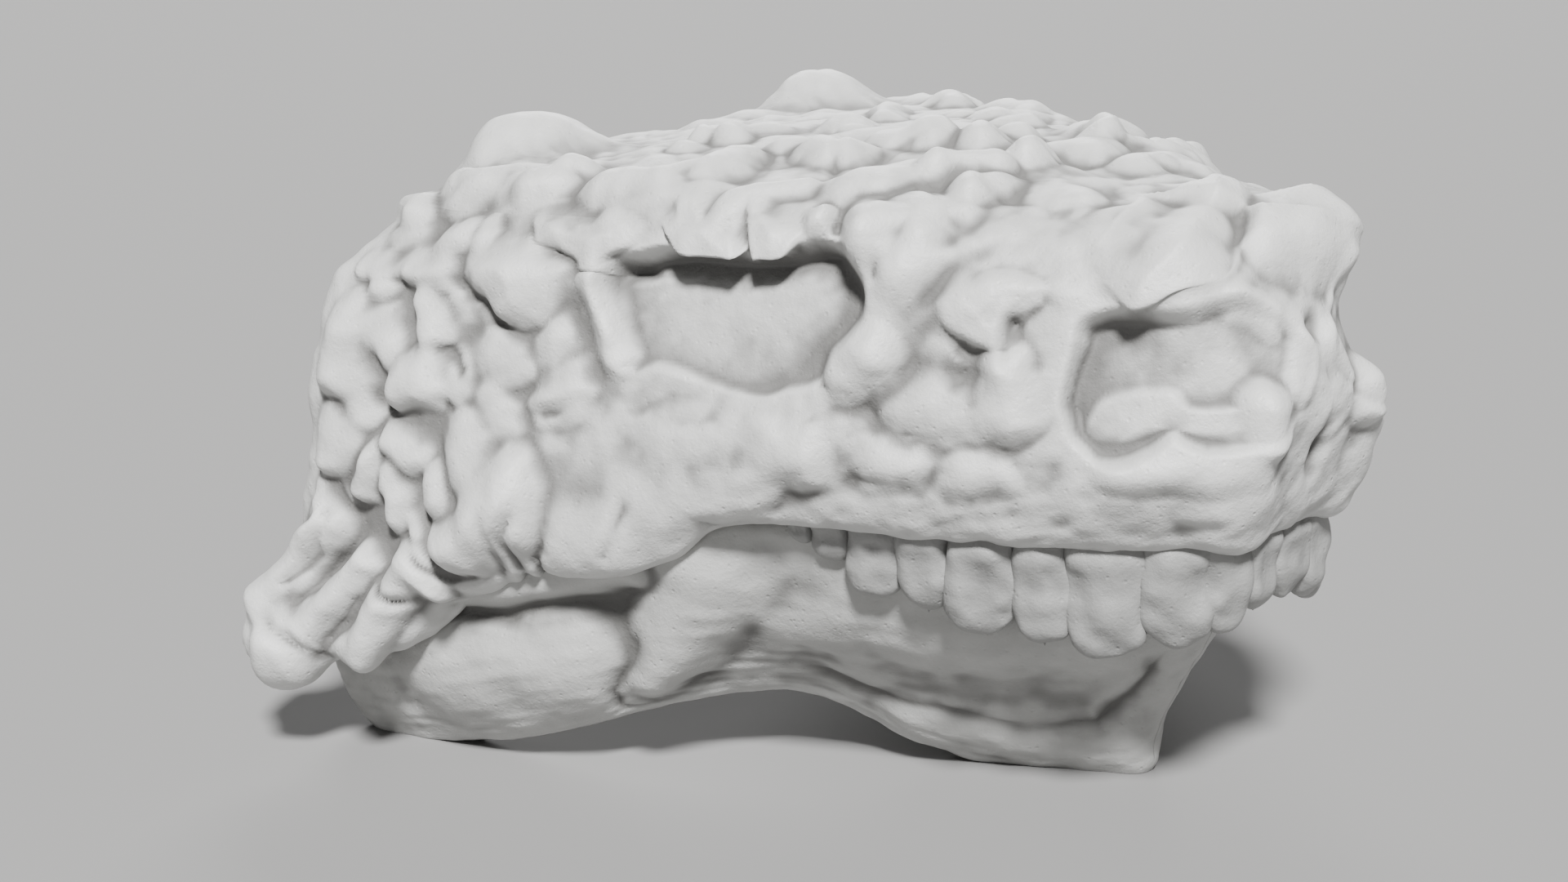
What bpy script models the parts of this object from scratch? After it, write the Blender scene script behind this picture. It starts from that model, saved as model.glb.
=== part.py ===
"""Pareiasaur skull, life size, with its jaws closed, lying on its lower jaw.

The snout points along +X, the animal's left side is +Y, and the floor is at zero height.
The bones of the skull are one lofted surface, raised into bosses and sunk into hollows,
and parted by thin cuts into the pieces that a person would name.
"""

import random

import bmesh
import bpy
import numpy as np
from mathutils import Matrix

# Driving dimensions, in metres
SKULL_LENGTH = 0.424
SKULL_WIDTH = 0.456
SKULL_HEIGHT = 0.268
GAP = 0.0003

# The shape below is written in millimetres for a skull of this length, width and height
DRAWN_LENGTH = 424.0
DRAWN_WIDTH = 456.0
DRAWN_HEIGHT = 268.0

# Ten places round half of the skull, from the tip of the snout to the middle of the occiput.
# Each has its eave, waist and rim as forward, outward and up, and how far it bulges between
# the waist and the rim.
PLACES = {
    "snout_tip": ((160, 0, 238), (206, 0, 179), (188, 0, 120), 4),
    "snout_corner": ((148, 40, 238), (192, 46, 179), (182, 40, 121), 5),
    "nostril": ((112, 62, 242), (144, 80, 179), (140, 76, 122), 6),
    "before_eye": ((66, 88, 246), (88, 106, 180), (88, 104, 124), 7),
    "eye": ((8, 112, 248), (12, 135, 180), (20, 132, 124), 8),
    "behind_eye": ((-60, 126, 250), (-74, 163, 180), (-86, 180, 108), 6),
    "cheek": ((-108, 128, 253), (-134, 180, 178), (-142, 208, 62), -2),
    "cheek_corner": ((-152, 120, 253), (-190, 182, 178), (-206, 222, 58), -12),
    "squamosal": ((-172, 62, 255), (-174, 130, 184), (-184, 176, 90), 0),
    "occiput": ((-166, 0, 254), (-152, 0, 192), (-138, 0, 142), 0),
}
CROWN = (-20, 0, 263)
PALATE = (0, 0, 134)

# Shares of the way from the crown to the eave for the two rings of the roof, and of the way from
# the eave to the waist for the brow
ROOF_RINGS = (0.36, 0.72)
BROW_REACH = 0.68
BROW_DROP = 0.38

# The lip inside the rim, the shelf above it and the lowest height of the shelf
RIM_THICKNESS = 28
RIM_ROW = 7
PALATE_STEP = 18
SHELF_RISE = 4
PALATE_EDGE = 114

# Nine places along half of the lower jaw, from the chin to the joint.
# Each has its side under the teeth, its foot, and its thickness at the top and at the foot.
JAW_PLACES = {
    "chin": ((154, 0, 74), (110, 0, -2), 66, 36),
    "chin_corner": ((142, 25, 74), (93, 11, -2), 62, 24),
    "front": ((112, 54, 78), (60, 31, -2), 48, 16),
    "middle": ((72, 85, 80), (28, 56, 13), 40, 17),
    "hollow": ((24, 109, 86), (-5, 84, 32), 32, 16),
    "angle": ((-25, 134, 89), (-50, 126, 27), 28, 20),
    "plate": ((-80, 158, 80), (-92, 152, 13), 26, 20),
    "plate_back": ((-142, 180, 64), (-146, 169, 0), 28, 22),
    "joint": ((-198, 188, 54), (-190, 176, -2), 30, 24),
}
JAW_TOP = 118
JAW_BULGE = 8

# Behind the fifth place the top of the jaw drops towards the joint, by a power of the distance
JAW_DROP = 4.5
JAW_DROP_POWER = 1.5
JAW_DROP_START = 5

# Where the jaw starts to hollow, over how many places, and how high its crease and keel lie
HOLLOW_START = 3
CREASE_SHARE = 0.45
KEEL_SHARE = 0.80
INNER_FOOT_RISE = 6
TOP_FORWARD = 6
TOP_OUTWARD = 3

# The jaw closes behind the joint with a smaller ring this far back
TAIL_SHARE = 0.55
TAIL_BACK = 14

# Bosses of the right side. Each runs from one place to another, as a place round the skull and
# a place down it, with the half width at each end, the height, and how flat its top is.
BOSSES = {
    "horn": (7.30, 2.62, 7.40, 2.52, 34, 30, 15, 0.0),
    "horn_foot": (6.85, 3.10, 6.95, 3.00, 26, 24, 8, 0.0),
    "nasal": (0.92, 3.85, 1.02, 3.20, 30, 28, 15, 0.1),
    "brow_back": (4.30, 3.42, 4.06, 3.32, 20, 23, 11, 0.2),
    "brow_front": (3.78, 3.42, 3.58, 3.34, 20, 19, 10, 0.2),
    "brow_knob": (3.44, 3.18, 3.44, 3.18, 11, 11, 6, 0.0),
    "before_brow": (3.20, 3.40, 3.12, 3.15, 19, 19, 8, 0.1),
    "roof_swelling": (4.95, 2.85, 4.60, 2.80, 36, 32, 7, 0.0),
    "frontal_swelling": (2.97, 1.85, 2.85, 2.15, 38, 34, 7, 0.0),
    "prefrontal": (2.95, 3.35, 2.70, 2.95, 24, 22, 7, 0.0),
    "prefrontal_knob": (3.00, 3.82, 2.92, 3.76, 15, 13, 5, 0.0),
    "temple_bar": (5.24, 3.58, 4.74, 3.66, 17, 20, 10, 0.1),
    "eye_bar": (4.72, 4.00, 4.52, 4.82, 15, 13, 7, 0.1),
    "temple": (5.46, 4.22, 5.12, 4.22, 20, 29, 13, 0.1),
    "cheek_bead": (4.70, 5.12, 4.66, 5.10, 14, 13, 5, 0.0),
    "hook": (2.64, 4.24, 2.18, 3.98, 26, 12, 10, 0.1),
    "eye_corner": (3.30, 4.84, 3.20, 4.58, 20, 17, 7, 0.0),
    "maxilla_swelling": (3.02, 5.02, 2.62, 4.98, 21, 22, 6, 0.0),
    "maxilla_bead": (2.34, 5.12, 2.26, 5.16, 16, 14, 5, 0.0),
    "maxilla_back": (3.66, 5.82, 3.44, 5.74, 26, 20, 4, 0.0),
    "maxilla_low": (3.16, 5.90, 2.80, 5.92, 20, 17, 4, 0.0),
    "nostril_lip": (1.84, 5.60, 0.60, 5.20, 17, 13, 8, 0.0),
    "lip_swelling": (0.95, 5.90, 0.80, 5.70, 28, 24, 5, 0.0),
    "cheek_point": (5.00, 5.98, 5.24, 6.72, 20, 17, 13, 0.2),
    "cheek_ridge": (4.85, 6.72, 4.10, 6.66, 20, 13, 6, 0.0),
    "cheek_tooth": (5.50, 6.76, 5.54, 6.86, 17, 15, 8, 0.0),
    "knob_a": (6.53, 4.20, 6.55, 4.26, 18, 17, 9, 0.0),
    "knob_b": (6.15, 4.08, 6.10, 4.16, 18, 17, 9, 0.0),
    "knob_c": (5.93, 4.56, 5.90, 4.62, 17, 17, 8, 0.0),
    "knob_d": (6.28, 4.68, 6.24, 4.74, 16, 16, 8, 0.0),
    "knob_e": (5.90, 5.00, 5.82, 5.14, 22, 21, 11, 0.1),
    "knob_f": (5.38, 5.02, 5.34, 5.08, 18, 17, 8, 0.0),
    "knob_g": (5.08, 5.30, 5.02, 5.24, 17, 16, 6, 0.0),
    "knob_h": (6.26, 5.36, 6.20, 5.44, 17, 17, 9, 0.0),
    "knob_i": (5.66, 5.80, 5.62, 5.90, 19, 18, 9, 0.0),
    "knob_j": (6.02, 5.88, 5.96, 5.98, 17, 16, 8, 0.0),
    "knob_k": (5.40, 6.06, 5.36, 6.14, 15, 15, 6, 0.0),
    "knob_l": (5.15, 5.66, 5.08, 5.84, 20, 19, 8, 0.0),
    "knob_m": (6.62, 4.90, 6.56, 4.98, 18, 17, 9, 0.0),
    "knob_n": (6.42, 5.80, 6.36, 5.88, 18, 18, 9, 0.0),
    "finger_front": (5.66, 6.40, 6.06, 7.02, 15, 17, 9, 0.1),
    "finger_middle": (5.98, 6.26, 6.40, 6.90, 16, 18, 10, 0.1),
    "finger_back": (6.46, 6.16, 6.96, 6.74, 19, 24, 12, 0.1),
    "corner": (6.90, 7.00, 7.00, 7.06, 20, 20, 8, 0.0),
    "squamosal_boss": (7.70, 4.40, 7.60, 4.90, 24, 24, 8, 0.0),
    "squamosal_low": (7.60, 5.70, 7.50, 6.10, 22, 22, 8, 0.0),
    "snout_ridge": (0.36, 4.50, 0.32, 5.80, 13, 13, 4, 0.0),
    "condyle": (9.00, 5.70, 9.00, 5.95, 27, 25, 26, 0.2),
}

# Small knobs strewn over the roof in a seeded spiral round the crown
ROOF_KNOBS = 34
GOLDEN_TURN = 0.381966
KNOB_FIRST_RING = 0.25
KNOB_RING_SPAN = 2.75
KNOB_SHIFT_AROUND = 0.3
KNOB_SHIFT_DOWN = 0.12
KNOB_HALF_WIDTHS = (14, 21)
KNOB_HEIGHTS = (3.5, 7)

# The left side's bosses and grooves are this much lower or higher than the right side's
SIDE_SHARES = (0.88, 1.12)

# Grooves and pits, written the same way with their depth
GROOVES = {
    "behind_hook": (2.16, 4.38, 2.08, 4.54, 20, 20, 7, 0.1),
    "maxilla_groove": (2.80, 4.62, 2.48, 5.04, 10, 9, 5, 0.0),
    "under_temple_bar": (5.14, 3.90, 4.88, 3.94, 12, 10, 5, 0.0),
    "under_temple": (5.44, 4.56, 5.20, 4.74, 12, 13, 5, 0.0),
    "cheek_fold": (4.82, 6.08, 4.74, 6.56, 9, 9, 5, 0.0),
    "snout_groove": (0.00, 4.50, 0.00, 6.10, 9, 9, 3, 0.0),
    "snout_groove_side": (0.62, 5.50, 0.56, 6.20, 9, 8, 3, 0.0),
    "foramen_magnum": (9.00, 4.90, 9.00, 4.96, 19, 19, 9, 0.2),
    "post_temporal": (8.05, 4.90, 7.95, 5.20, 24, 22, 9, 0.1),
}

# Outlines of the sunken openings, as places round and down the skull, with depth and edge width
OPENINGS = {
    "orbit": (((4.60, 4.05), (4.46, 4.84), (4.03, 4.88), (3.74, 5.02), (3.48, 4.92), (3.31, 4.66),
               (3.25, 4.00), (3.72, 3.84), (4.45, 3.80)), 9, 13),
    "naris": (((1.96, 4.92), (1.78, 4.36), (1.22, 4.20), (0.72, 4.15), (0.42, 4.34), (0.34, 4.90),
               (0.62, 5.06), (1.30, 5.20), (1.76, 5.40)), 10, 10),
}
COLUMN_WIDTH = 48
ROW_HEIGHT = 38
EDGE_DEPTH_SHARE = 0.35

# Bosses and grooves of the right half of the lower jaw, as a place along and a place round it
JAW_BOSSES = {
    "angle_boss": (4.66, 1.30, 5.20, 3.00, 22, 17, 11, 0.0),
    "ledge": (7.60, 1.05, 5.80, 1.00, 12, 9, 4, 0.0),
    "side_swelling": (1.40, 1.55, 3.40, 1.40, 24, 20, 4, 0.0),
}
JAW_GROOVES = {
    "side_crease": (0.60, 2.50, 3.90, 2.45, 13, 12, 4, 0.0),
    "before_angle": (4.05, 1.60, 4.35, 2.80, 20, 18, 3, 0.0),
}

# Teeth of the right side from the middle of the snout: place along the rim, half width, crown
TEETH = (
    (0.22, 9, 38),
    (0.68, 10, 40),
    (1.14, 12, 43),
    (1.62, 13, 46),
    (2.08, 12, 43),
    (2.54, 13, 41),
    (2.96, 11, 35),
    (3.32, 10, 29),
    (3.64, 8, 20),
)
TOOTH_HALF_DEPTH = 6.5
TOOTH_ROOT = 16
TOOTH_INSET = 9
TOOTH_SIDES = 8

# Rings of a tooth: share of the crown below the rim, then its width and its depth as shares.
# The root's own ring comes first.
ROOT_RING = (0.86, 0.90)
CROWN_RINGS = (
    (0.30, 0.98, 1.00),
    (0.68, 1.00, 0.96),
    (0.92, 0.74, 0.66),
)

# Where thin cuts part the skull, in metres
SNOUT_BACK = 0.070
JAW_LINE = 0.150
ROOF_LINE = 0.242
CORE_HALF_WIDTH = 0.075
EYE_BACK = -0.062
FAR = 0.5

# How finely the lofts are sampled, and the triangles that each keeps
STEPS_AROUND = 15
STEPS_DOWN = 13
STEPS_ALONG = 14
STEPS_PAST_CHIN = 4
EVEN_GRID = 0.003
SKULL_TRIANGLES = 7600
JAW_TRIANGLES = 1200

# How sharply neighbouring bosses meet: higher gives a sharper crease
CREST_POWER = 4

# Points closer than this after a cut are one point, and the jaw keeps this far from the skull
WELD = 2e-6
JAW_CLEARANCE = 0.0006

# Colours and finish of the pale grey bone
BONE_TINTS = {
    "skull_roof": (0.50, 0.50, 0.49),
    "snout": (0.52, 0.52, 0.51),
    "upper_jaw": (0.48, 0.48, 0.47),
    "orbit": (0.51, 0.50, 0.49),
    "cheek": (0.47, 0.47, 0.46),
    "occiput": (0.45, 0.45, 0.44),
    "lower_jaw": (0.49, 0.49, 0.48),
}
BONE_ROUGHNESS = 0.62
SEED = 7


def design_point(forward, outward, up):
    """A point in metres from distances drawn in millimetres; outward is towards the right."""
    return np.array([
        forward * SKULL_LENGTH / DRAWN_LENGTH,
        -outward * SKULL_WIDTH / DRAWN_WIDTH,
        up * SKULL_HEIGHT / DRAWN_HEIGHT,
    ])


def moved_inwards(points, distance):
    """Points moved level towards the upright line through the crown."""
    towards = np.array(CROWN, float) - points
    towards[:, 2] = 0
    length = np.linalg.norm(towards, axis=1, keepdims=True)
    return points + towards / np.maximum(length, 1) * distance


def skull_cage():
    """Rings of cage points from the crown down the outside and in along the palate."""
    eave, waist, rim = (np.array([place[k] for place in PLACES.values()], float) for k in range(3))
    crown = np.array(CROWN, float)
    palate = np.array(PALATE, float)
    brow = eave + (waist - eave) * np.array([BROW_REACH, BROW_REACH, BROW_DROP])
    bulges = np.array([[place[3]] for place in PLACES.values()], float)
    cheek = moved_inwards((waist + rim) / 2, -bulges)
    lip = moved_inwards(rim, RIM_THICKNESS)
    shelf = moved_inwards(lip, PALATE_STEP)
    shelf[:, 2] = np.maximum(rim[:, 2] + SHELF_RISE, PALATE_EDGE)
    rings = [np.repeat(crown[None], len(eave), 0)]
    for share in ROOF_RINGS:
        ring = crown + (eave - crown) * share
        ring[:, 2] = crown[2] + (eave[:, 2] - crown[2]) * share ** 2
        rings.append(ring)
    halfway = (palate + shelf) / 2
    rings += [eave, brow, waist, cheek, rim, lip, shelf, halfway]
    rings.append(np.repeat(palate[None], len(eave), 0))
    half = np.array([[design_point(*point) for point in ring] for ring in rings])
    other = half[:, -2:0:-1] * np.array([1, -1, 1])
    return np.concatenate([half, other], axis=1)


def jaw_cage():
    """Rings of cage points round the right half of the lower jaw, from the chin backwards."""
    rings = []
    for index, (side, foot, top_thickness, foot_thickness) in enumerate(JAW_PLACES.values()):
        side = np.array(side, float)
        foot = np.array(foot, float)
        bulge = -JAW_BULGE * min(max(index / HOLLOW_START - 1, 0), 1)
        drop = JAW_DROP * max(index - JAW_DROP_START, 0) ** JAW_DROP_POWER
        outward = TOP_OUTWARD * (index > 0)
        top = np.array([side[0] + TOP_FORWARD, side[1] + outward, JAW_TOP - drop])
        crease = moved_inwards((side + (foot - side) * CREASE_SHARE)[None], bulge)[0]
        keel = moved_inwards((side + (foot - side) * KEEL_SHARE)[None], bulge)[0]
        inner_foot = moved_inwards((foot + [0, 0, INNER_FOOT_RISE])[None], foot_thickness)[0]
        inner_top = moved_inwards(top[None], top_thickness)[0]
        inner_side = (inner_foot + inner_top) / 2
        rings.append([top, side, crease, keel, foot, inner_foot, inner_side, inner_top])
    tail = np.array(rings[-1])
    centre = tail.mean(axis=0)
    rings.append(centre + (tail - centre) * TAIL_SHARE - np.array([TAIL_BACK, 0, 0]))
    return np.array([[design_point(*point) for point in ring] for ring in rings])


def blend_four(before, start, end, after, share):
    """A smooth curve through start and end that leans on the points before and after them."""
    return 0.5 * (
        2 * start
        + (end - before) * share
        + (2 * before - 5 * start + 4 * end - after) * share ** 2
        + (3 * start - before - 3 * end + after) * share ** 3
    )


def skull_surface(cage, around, down):
    """Points of the skull's loft at places round it and down it, as smooth curves both ways."""
    rows, columns, _ = cage.shape
    over_crown = np.roll(cage[1], columns // 2, axis=0)
    over_palate = np.roll(cage[-2], columns // 2, axis=0)
    padded = np.concatenate([over_crown[None], cage, over_palate[None]])
    row = np.clip(np.floor(down).astype(int), 0, rows - 2)
    column = np.floor(around).astype(int)
    across = (around - column)[..., None]
    curves = []
    for k in range(4):
        ring = [padded[row + k, (column + j - 1) % columns] for j in range(4)]
        curves.append(blend_four(*ring, across))
    return blend_four(*curves, (down - row)[..., None])


def jaw_surface(cage, along, around):
    """Points of the jaw's loft at places along it and round it; it goes on past the chin."""
    stations, columns, _ = cage.shape
    mirrored = cage[1] * np.array([1, -1, 1])
    beyond = 2 * cage[-1] - cage[-2]
    padded = np.concatenate([mirrored[None], cage, beyond[None]])
    row = np.clip(np.floor(along).astype(int), 0, stations - 2)
    column = np.floor(around).astype(int)
    across = (around - column)[..., None]
    curves = []
    for k in range(4):
        ring = [padded[row + k, (column + j - 1) % columns] for j in range(4)]
        curves.append(blend_four(*ring, across))
    return blend_four(*curves, (along - row)[..., None])


def outward_normals(surface, cage, first, second, turn):
    """Unit normals from the slopes along both parameters, turned to point out of the bone."""
    step = 0.02
    slope_first = surface(cage, first + step, second) - surface(cage, first - step, second)
    slope_second = surface(cage, first, second + step) - surface(cage, first, second - step)
    normal = np.cross(slope_first, slope_second) * turn
    return normal / np.maximum(np.linalg.norm(normal, axis=-1, keepdims=True), 1e-12)


def smooth_step(value):
    """Rises gently from 0 to 1 as the value does."""
    value = np.clip(value, 0, 1)
    return value * value * (3 - 2 * value)


def stroke_height(points, start, end, widths, flat):
    """How much a stroke from start to end lifts each point: 1 on its line, 0 past its width."""
    line = end - start
    share = np.clip((points - start) @ line / max(line @ line, 1e-12), 0, 1)
    distance = np.linalg.norm(points - start - share[..., None] * line, axis=-1)
    width = widths[0] + (widths[1] - widths[0]) * share
    return smooth_step((1 - distance / width) / (1 - flat))


def roof_knobs():
    """Strokes for the small knobs: even turns round the crown, evenly spread outwards."""
    draw = random.Random(SEED)
    columns = 2 * (len(PLACES) - 1)
    knobs = {}
    for index in range(ROOF_KNOBS):
        share = ((index + 0.5) / ROOF_KNOBS) ** 0.5
        around = index * GOLDEN_TURN * columns
        around += draw.uniform(-KNOB_SHIFT_AROUND, KNOB_SHIFT_AROUND)
        down = KNOB_FIRST_RING + KNOB_RING_SPAN * share
        down += draw.uniform(-KNOB_SHIFT_DOWN, KNOB_SHIFT_DOWN)
        width = draw.uniform(*KNOB_HALF_WIDTHS)
        height = draw.uniform(*KNOB_HEIGHTS)
        knobs["roof_knob_" + str(index)] = (around, down, around, down, width, width, height, 0.0)
    return knobs


def relief(points, surface, cage, bosses, grooves, sides, seed):
    """Lift of each point: bosses meet in creases, so the highest rules, and grooves cut down."""
    lifted = np.zeros(points.shape[:-1])
    sunk = np.zeros(points.shape[:-1])
    for side in sides:
        draw = random.Random(seed)
        for strokes, total, power in ((bosses, lifted, CREST_POWER), (grooves, sunk, 1)):
            for first, down, last, last_down, width, last_width, height, flat in strokes.values():
                scale = 1 if side > 0 else draw.uniform(*SIDE_SHARES)
                start = surface(cage, np.array(side * first), np.array(down))
                end = surface(cage, np.array(side * last), np.array(last_down))
                widths = (width * 0.001, last_width * 0.001)
                share = stroke_height(points, start, end, widths, flat)
                total += (height * 0.001 * scale * share) ** power
    return lifted ** (1 / CREST_POWER) - sunk


def opening_share(around, down, outline, edge, side):
    """1 well inside an outline of places and 0 outside it, by the distance to its border."""
    corners = np.array(outline, float) * np.array([COLUMN_WIDTH, ROW_HEIGHT])
    columns = 2 * (len(PLACES) - 1)
    centred = (side * around + columns / 2) % columns - columns / 2
    x = centred * COLUMN_WIDTH
    y = down * ROW_HEIGHT
    nearest = np.full(x.shape, 1e9)
    inside = np.zeros(x.shape, bool)
    for (x0, y0), (x1, y1) in zip(corners, np.roll(corners, -1, axis=0)):
        length = (x1 - x0) ** 2 + (y1 - y0) ** 2
        share = np.clip(((x - x0) * (x1 - x0) + (y - y0) * (y1 - y0)) / length, 0, 1)
        gap = np.hypot(x - x0 - share * (x1 - x0), y - y0 - share * (y1 - y0))
        nearest = np.minimum(nearest, gap)
        crosses = (y0 > y) != (y1 > y)
        rise = y1 - y0 if y1 != y0 else 1e-9
        inside ^= crosses & (x < x0 + (y - y0) * (x1 - x0) / rise)
    return smooth_step(EDGE_DEPTH_SHARE + np.where(inside, nearest, -nearest) / edge)


def mesh_object(name, vertices, faces, collection):
    """An object with this name and mesh in the collection."""
    mesh = bpy.data.meshes.new(name)
    mesh.from_pydata([tuple(v) for v in vertices], [], faces)
    mesh.validate()
    made = bpy.data.objects.new(name, mesh)
    collection.objects.link(made)
    return made


def closed_loft(name, rings, first_end, last_end, collection, outward):
    """A closed mesh from rings of points, with a point at each end that closes it."""
    count, around, _ = rings.shape
    vertices = np.concatenate([rings.reshape(-1, 3), first_end[None], last_end[None]])
    first = count * around
    last = first + 1
    faces = []
    for row in range(count - 1):
        for column in range(around):
            beside = (column + 1) % around
            corners = (
                row * around + column,
                row * around + beside,
                (row + 1) * around + beside,
                (row + 1) * around + column,
            )
            faces.append(corners)
    for column in range(around):
        beside = (column + 1) % around
        faces.append((beside, column, first))
        faces.append(((count - 1) * around + column, (count - 1) * around + beside, last))
    if not outward:
        faces = [face[::-1] for face in faces]
    return mesh_object(name, vertices, faces, collection)


def apply_modifiers(made):
    """Leaves the object's mesh as its modifiers make it, with the modifiers gone."""
    graph = bpy.context.evaluated_depsgraph_get()
    mesh = bpy.data.meshes.new_from_object(made.evaluated_get(graph))
    old = made.data
    made.modifiers.clear()
    made.data = mesh
    bpy.data.meshes.remove(old)


def thin_out(made, triangles):
    """Lays an even grid over the surface, then merges edges until few triangles are left."""
    even = made.modifiers.new("even", "REMESH")
    even.mode = "VOXEL"
    even.voxel_size = EVEN_GRID
    apply_modifiers(made)
    count = sum(len(face.vertices) - 2 for face in made.data.polygons)
    fewer = made.modifiers.new("fewer", "DECIMATE")
    fewer.ratio = min(triangles / count, 1)
    fewer.use_collapse_triangulate = True
    apply_modifiers(made)


def boolean(made, other, operation):
    """Cuts or joins one object with another and leaves the result."""
    step = made.modifiers.new(operation.lower(), "BOOLEAN")
    step.operation = operation
    step.solver = "EXACT"
    step.object = other
    apply_modifiers(made)


def keep_largest(made):
    """Keeps only the largest closed surface of the mesh, in triangles."""
    work = bmesh.new()
    work.from_mesh(made.data)
    bmesh.ops.remove_doubles(work, verts=work.verts, dist=WELD)
    waiting = set(work.verts)
    largest = set()
    while waiting:
        group = set()
        front = [waiting.pop()]
        while front:
            vertex = front.pop()
            group.add(vertex)
            for edge in vertex.link_edges:
                other = edge.other_vert(vertex)
                if other in waiting:
                    waiting.discard(other)
                    front.append(other)
        if len(group) > len(largest):
            largest = group
    spare = [vertex for vertex in work.verts if vertex not in largest]
    bmesh.ops.delete(work, geom=spare, context="VERTS")
    bmesh.ops.triangulate(work, faces=work.faces)
    work.to_mesh(made.data)
    work.free()


def duplicate(made, name, collection):
    """A copy of the object with its own mesh."""
    copy = bpy.data.objects.new(name, made.data.copy())
    collection.objects.link(copy)
    return copy


def discard(made):
    """Removes an object that has done its work."""
    bpy.data.objects.remove(made, do_unlink=True)


def block(name, low, high, grown, collection):
    """A box between two corners, grown by a small amount all round, used only to cut."""
    work = bmesh.new()
    bmesh.ops.create_cube(work, size=1)
    for vertex in work.verts:
        for axis in range(3):
            corner = low[axis] - grown if vertex.co[axis] < 0 else high[axis] + grown
            vertex.co[axis] = corner
    mesh = bpy.data.meshes.new(name)
    work.to_mesh(mesh)
    work.free()
    made = bpy.data.objects.new(name, mesh)
    made.hide_render = True
    made.display_type = "WIRE"
    collection.objects.link(made)
    return made


def bone_material(name, tint):
    """A dull pale finish, a little different on each bone."""
    material = bpy.data.materials.new(name)
    material.use_nodes = True
    shader = material.node_tree.nodes["Principled BSDF"]
    shader.inputs["Base Color"].default_value = (*tint, 1)
    shader.inputs["Roughness"].default_value = BONE_ROUGHNESS
    shader.inputs["Metallic"].default_value = 0
    return material


def build_cranium(collection):
    """The skull without its lower jaw, as one closed loft with its bosses and hollows."""
    cage = skull_cage()
    rows, columns, _ = cage.shape
    places_around = np.arange(columns * STEPS_AROUND) / STEPS_AROUND
    places_down = np.arange(1, (rows - 1) * STEPS_DOWN) / STEPS_DOWN
    around, down = np.meshgrid(places_around, places_down)
    base = skull_surface(cage, around, down)
    normal = outward_normals(skull_surface, cage, around, down, 1)
    lift = relief(base, skull_surface, cage, BOSSES, GROOVES, (1, -1), SEED)
    lift = np.maximum(lift, relief(base, skull_surface, cage, roof_knobs(), {}, (1,), SEED))
    for side in (1, -1):
        for outline, depth, edge in OPENINGS.values():
            lift -= opening_share(around, down, outline, edge, side) * depth * 0.001
    rings = base + normal * lift[..., None]
    return closed_loft("cranium", rings, cage[0, 0], cage[-1, 0], collection, True)


def build_tooth(cage, place, half_width, crown, collection):
    """One tooth: a rounded peg that hangs from the rim, widest at its shoulder."""
    spot = skull_surface(cage, np.array(place), np.array(RIM_ROW))
    beside = skull_surface(cage, np.array(place + 0.05), np.array(RIM_ROW))
    along = beside - spot
    along[2] = 0
    along /= np.linalg.norm(along)
    outwards = np.array([-along[1], along[0], 0])
    if outwards @ (spot - np.array([CROWN[0] * 0.001, 0, spot[2]])) < 0:
        outwards = -outwards
    centre = spot - outwards * TOOTH_INSET * 0.001
    profile = [(TOOTH_ROOT, *ROOT_RING)]
    profile += [(-share * crown, width, depth) for share, width, depth in CROWN_RINGS]
    turns = np.arange(TOOTH_SIDES) / TOOTH_SIDES * 2 * np.pi
    rings = []
    for height, width, depth in profile:
        sideways = np.cos(turns)[:, None] * along * half_width * width
        across = np.sin(turns)[:, None] * outwards * TOOTH_HALF_DEPTH * depth
        rings.append(centre + (sideways + across) * 0.001 + np.array([0, 0, height * 0.001]))
    rings = np.array(rings)
    top = rings[0].mean(axis=0)
    tip = centre - np.array([0, 0, crown * 0.001])
    return closed_loft("tooth", rings, top, tip, collection, False)


def add_teeth(cranium, collection):
    """Fuses both rows of teeth with the rim, each root sunk well in."""
    cage = skull_cage()
    teeth = bpy.data.collections.new("teeth")
    collection.children.link(teeth)
    for side in (1, -1):
        for place, half_width, crown in TEETH:
            build_tooth(cage, side * place, half_width, crown, teeth)
    for tooth in teeth.objects:
        recalculate(tooth)
    join = cranium.modifiers.new("teeth", "BOOLEAN")
    join.operation = "UNION"
    join.solver = "EXACT"
    join.operand_type = "COLLECTION"
    join.collection = teeth
    apply_modifiers(cranium)
    for tooth in list(teeth.objects):
        discard(tooth)
    bpy.data.collections.remove(teeth)
    keep_largest(cranium)


def recalculate(made):
    """Turns the faces of a closed mesh outwards."""
    work = bmesh.new()
    work.from_mesh(made.data)
    bmesh.ops.recalc_face_normals(work, faces=work.faces)
    work.to_mesh(made.data)
    work.free()


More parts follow.
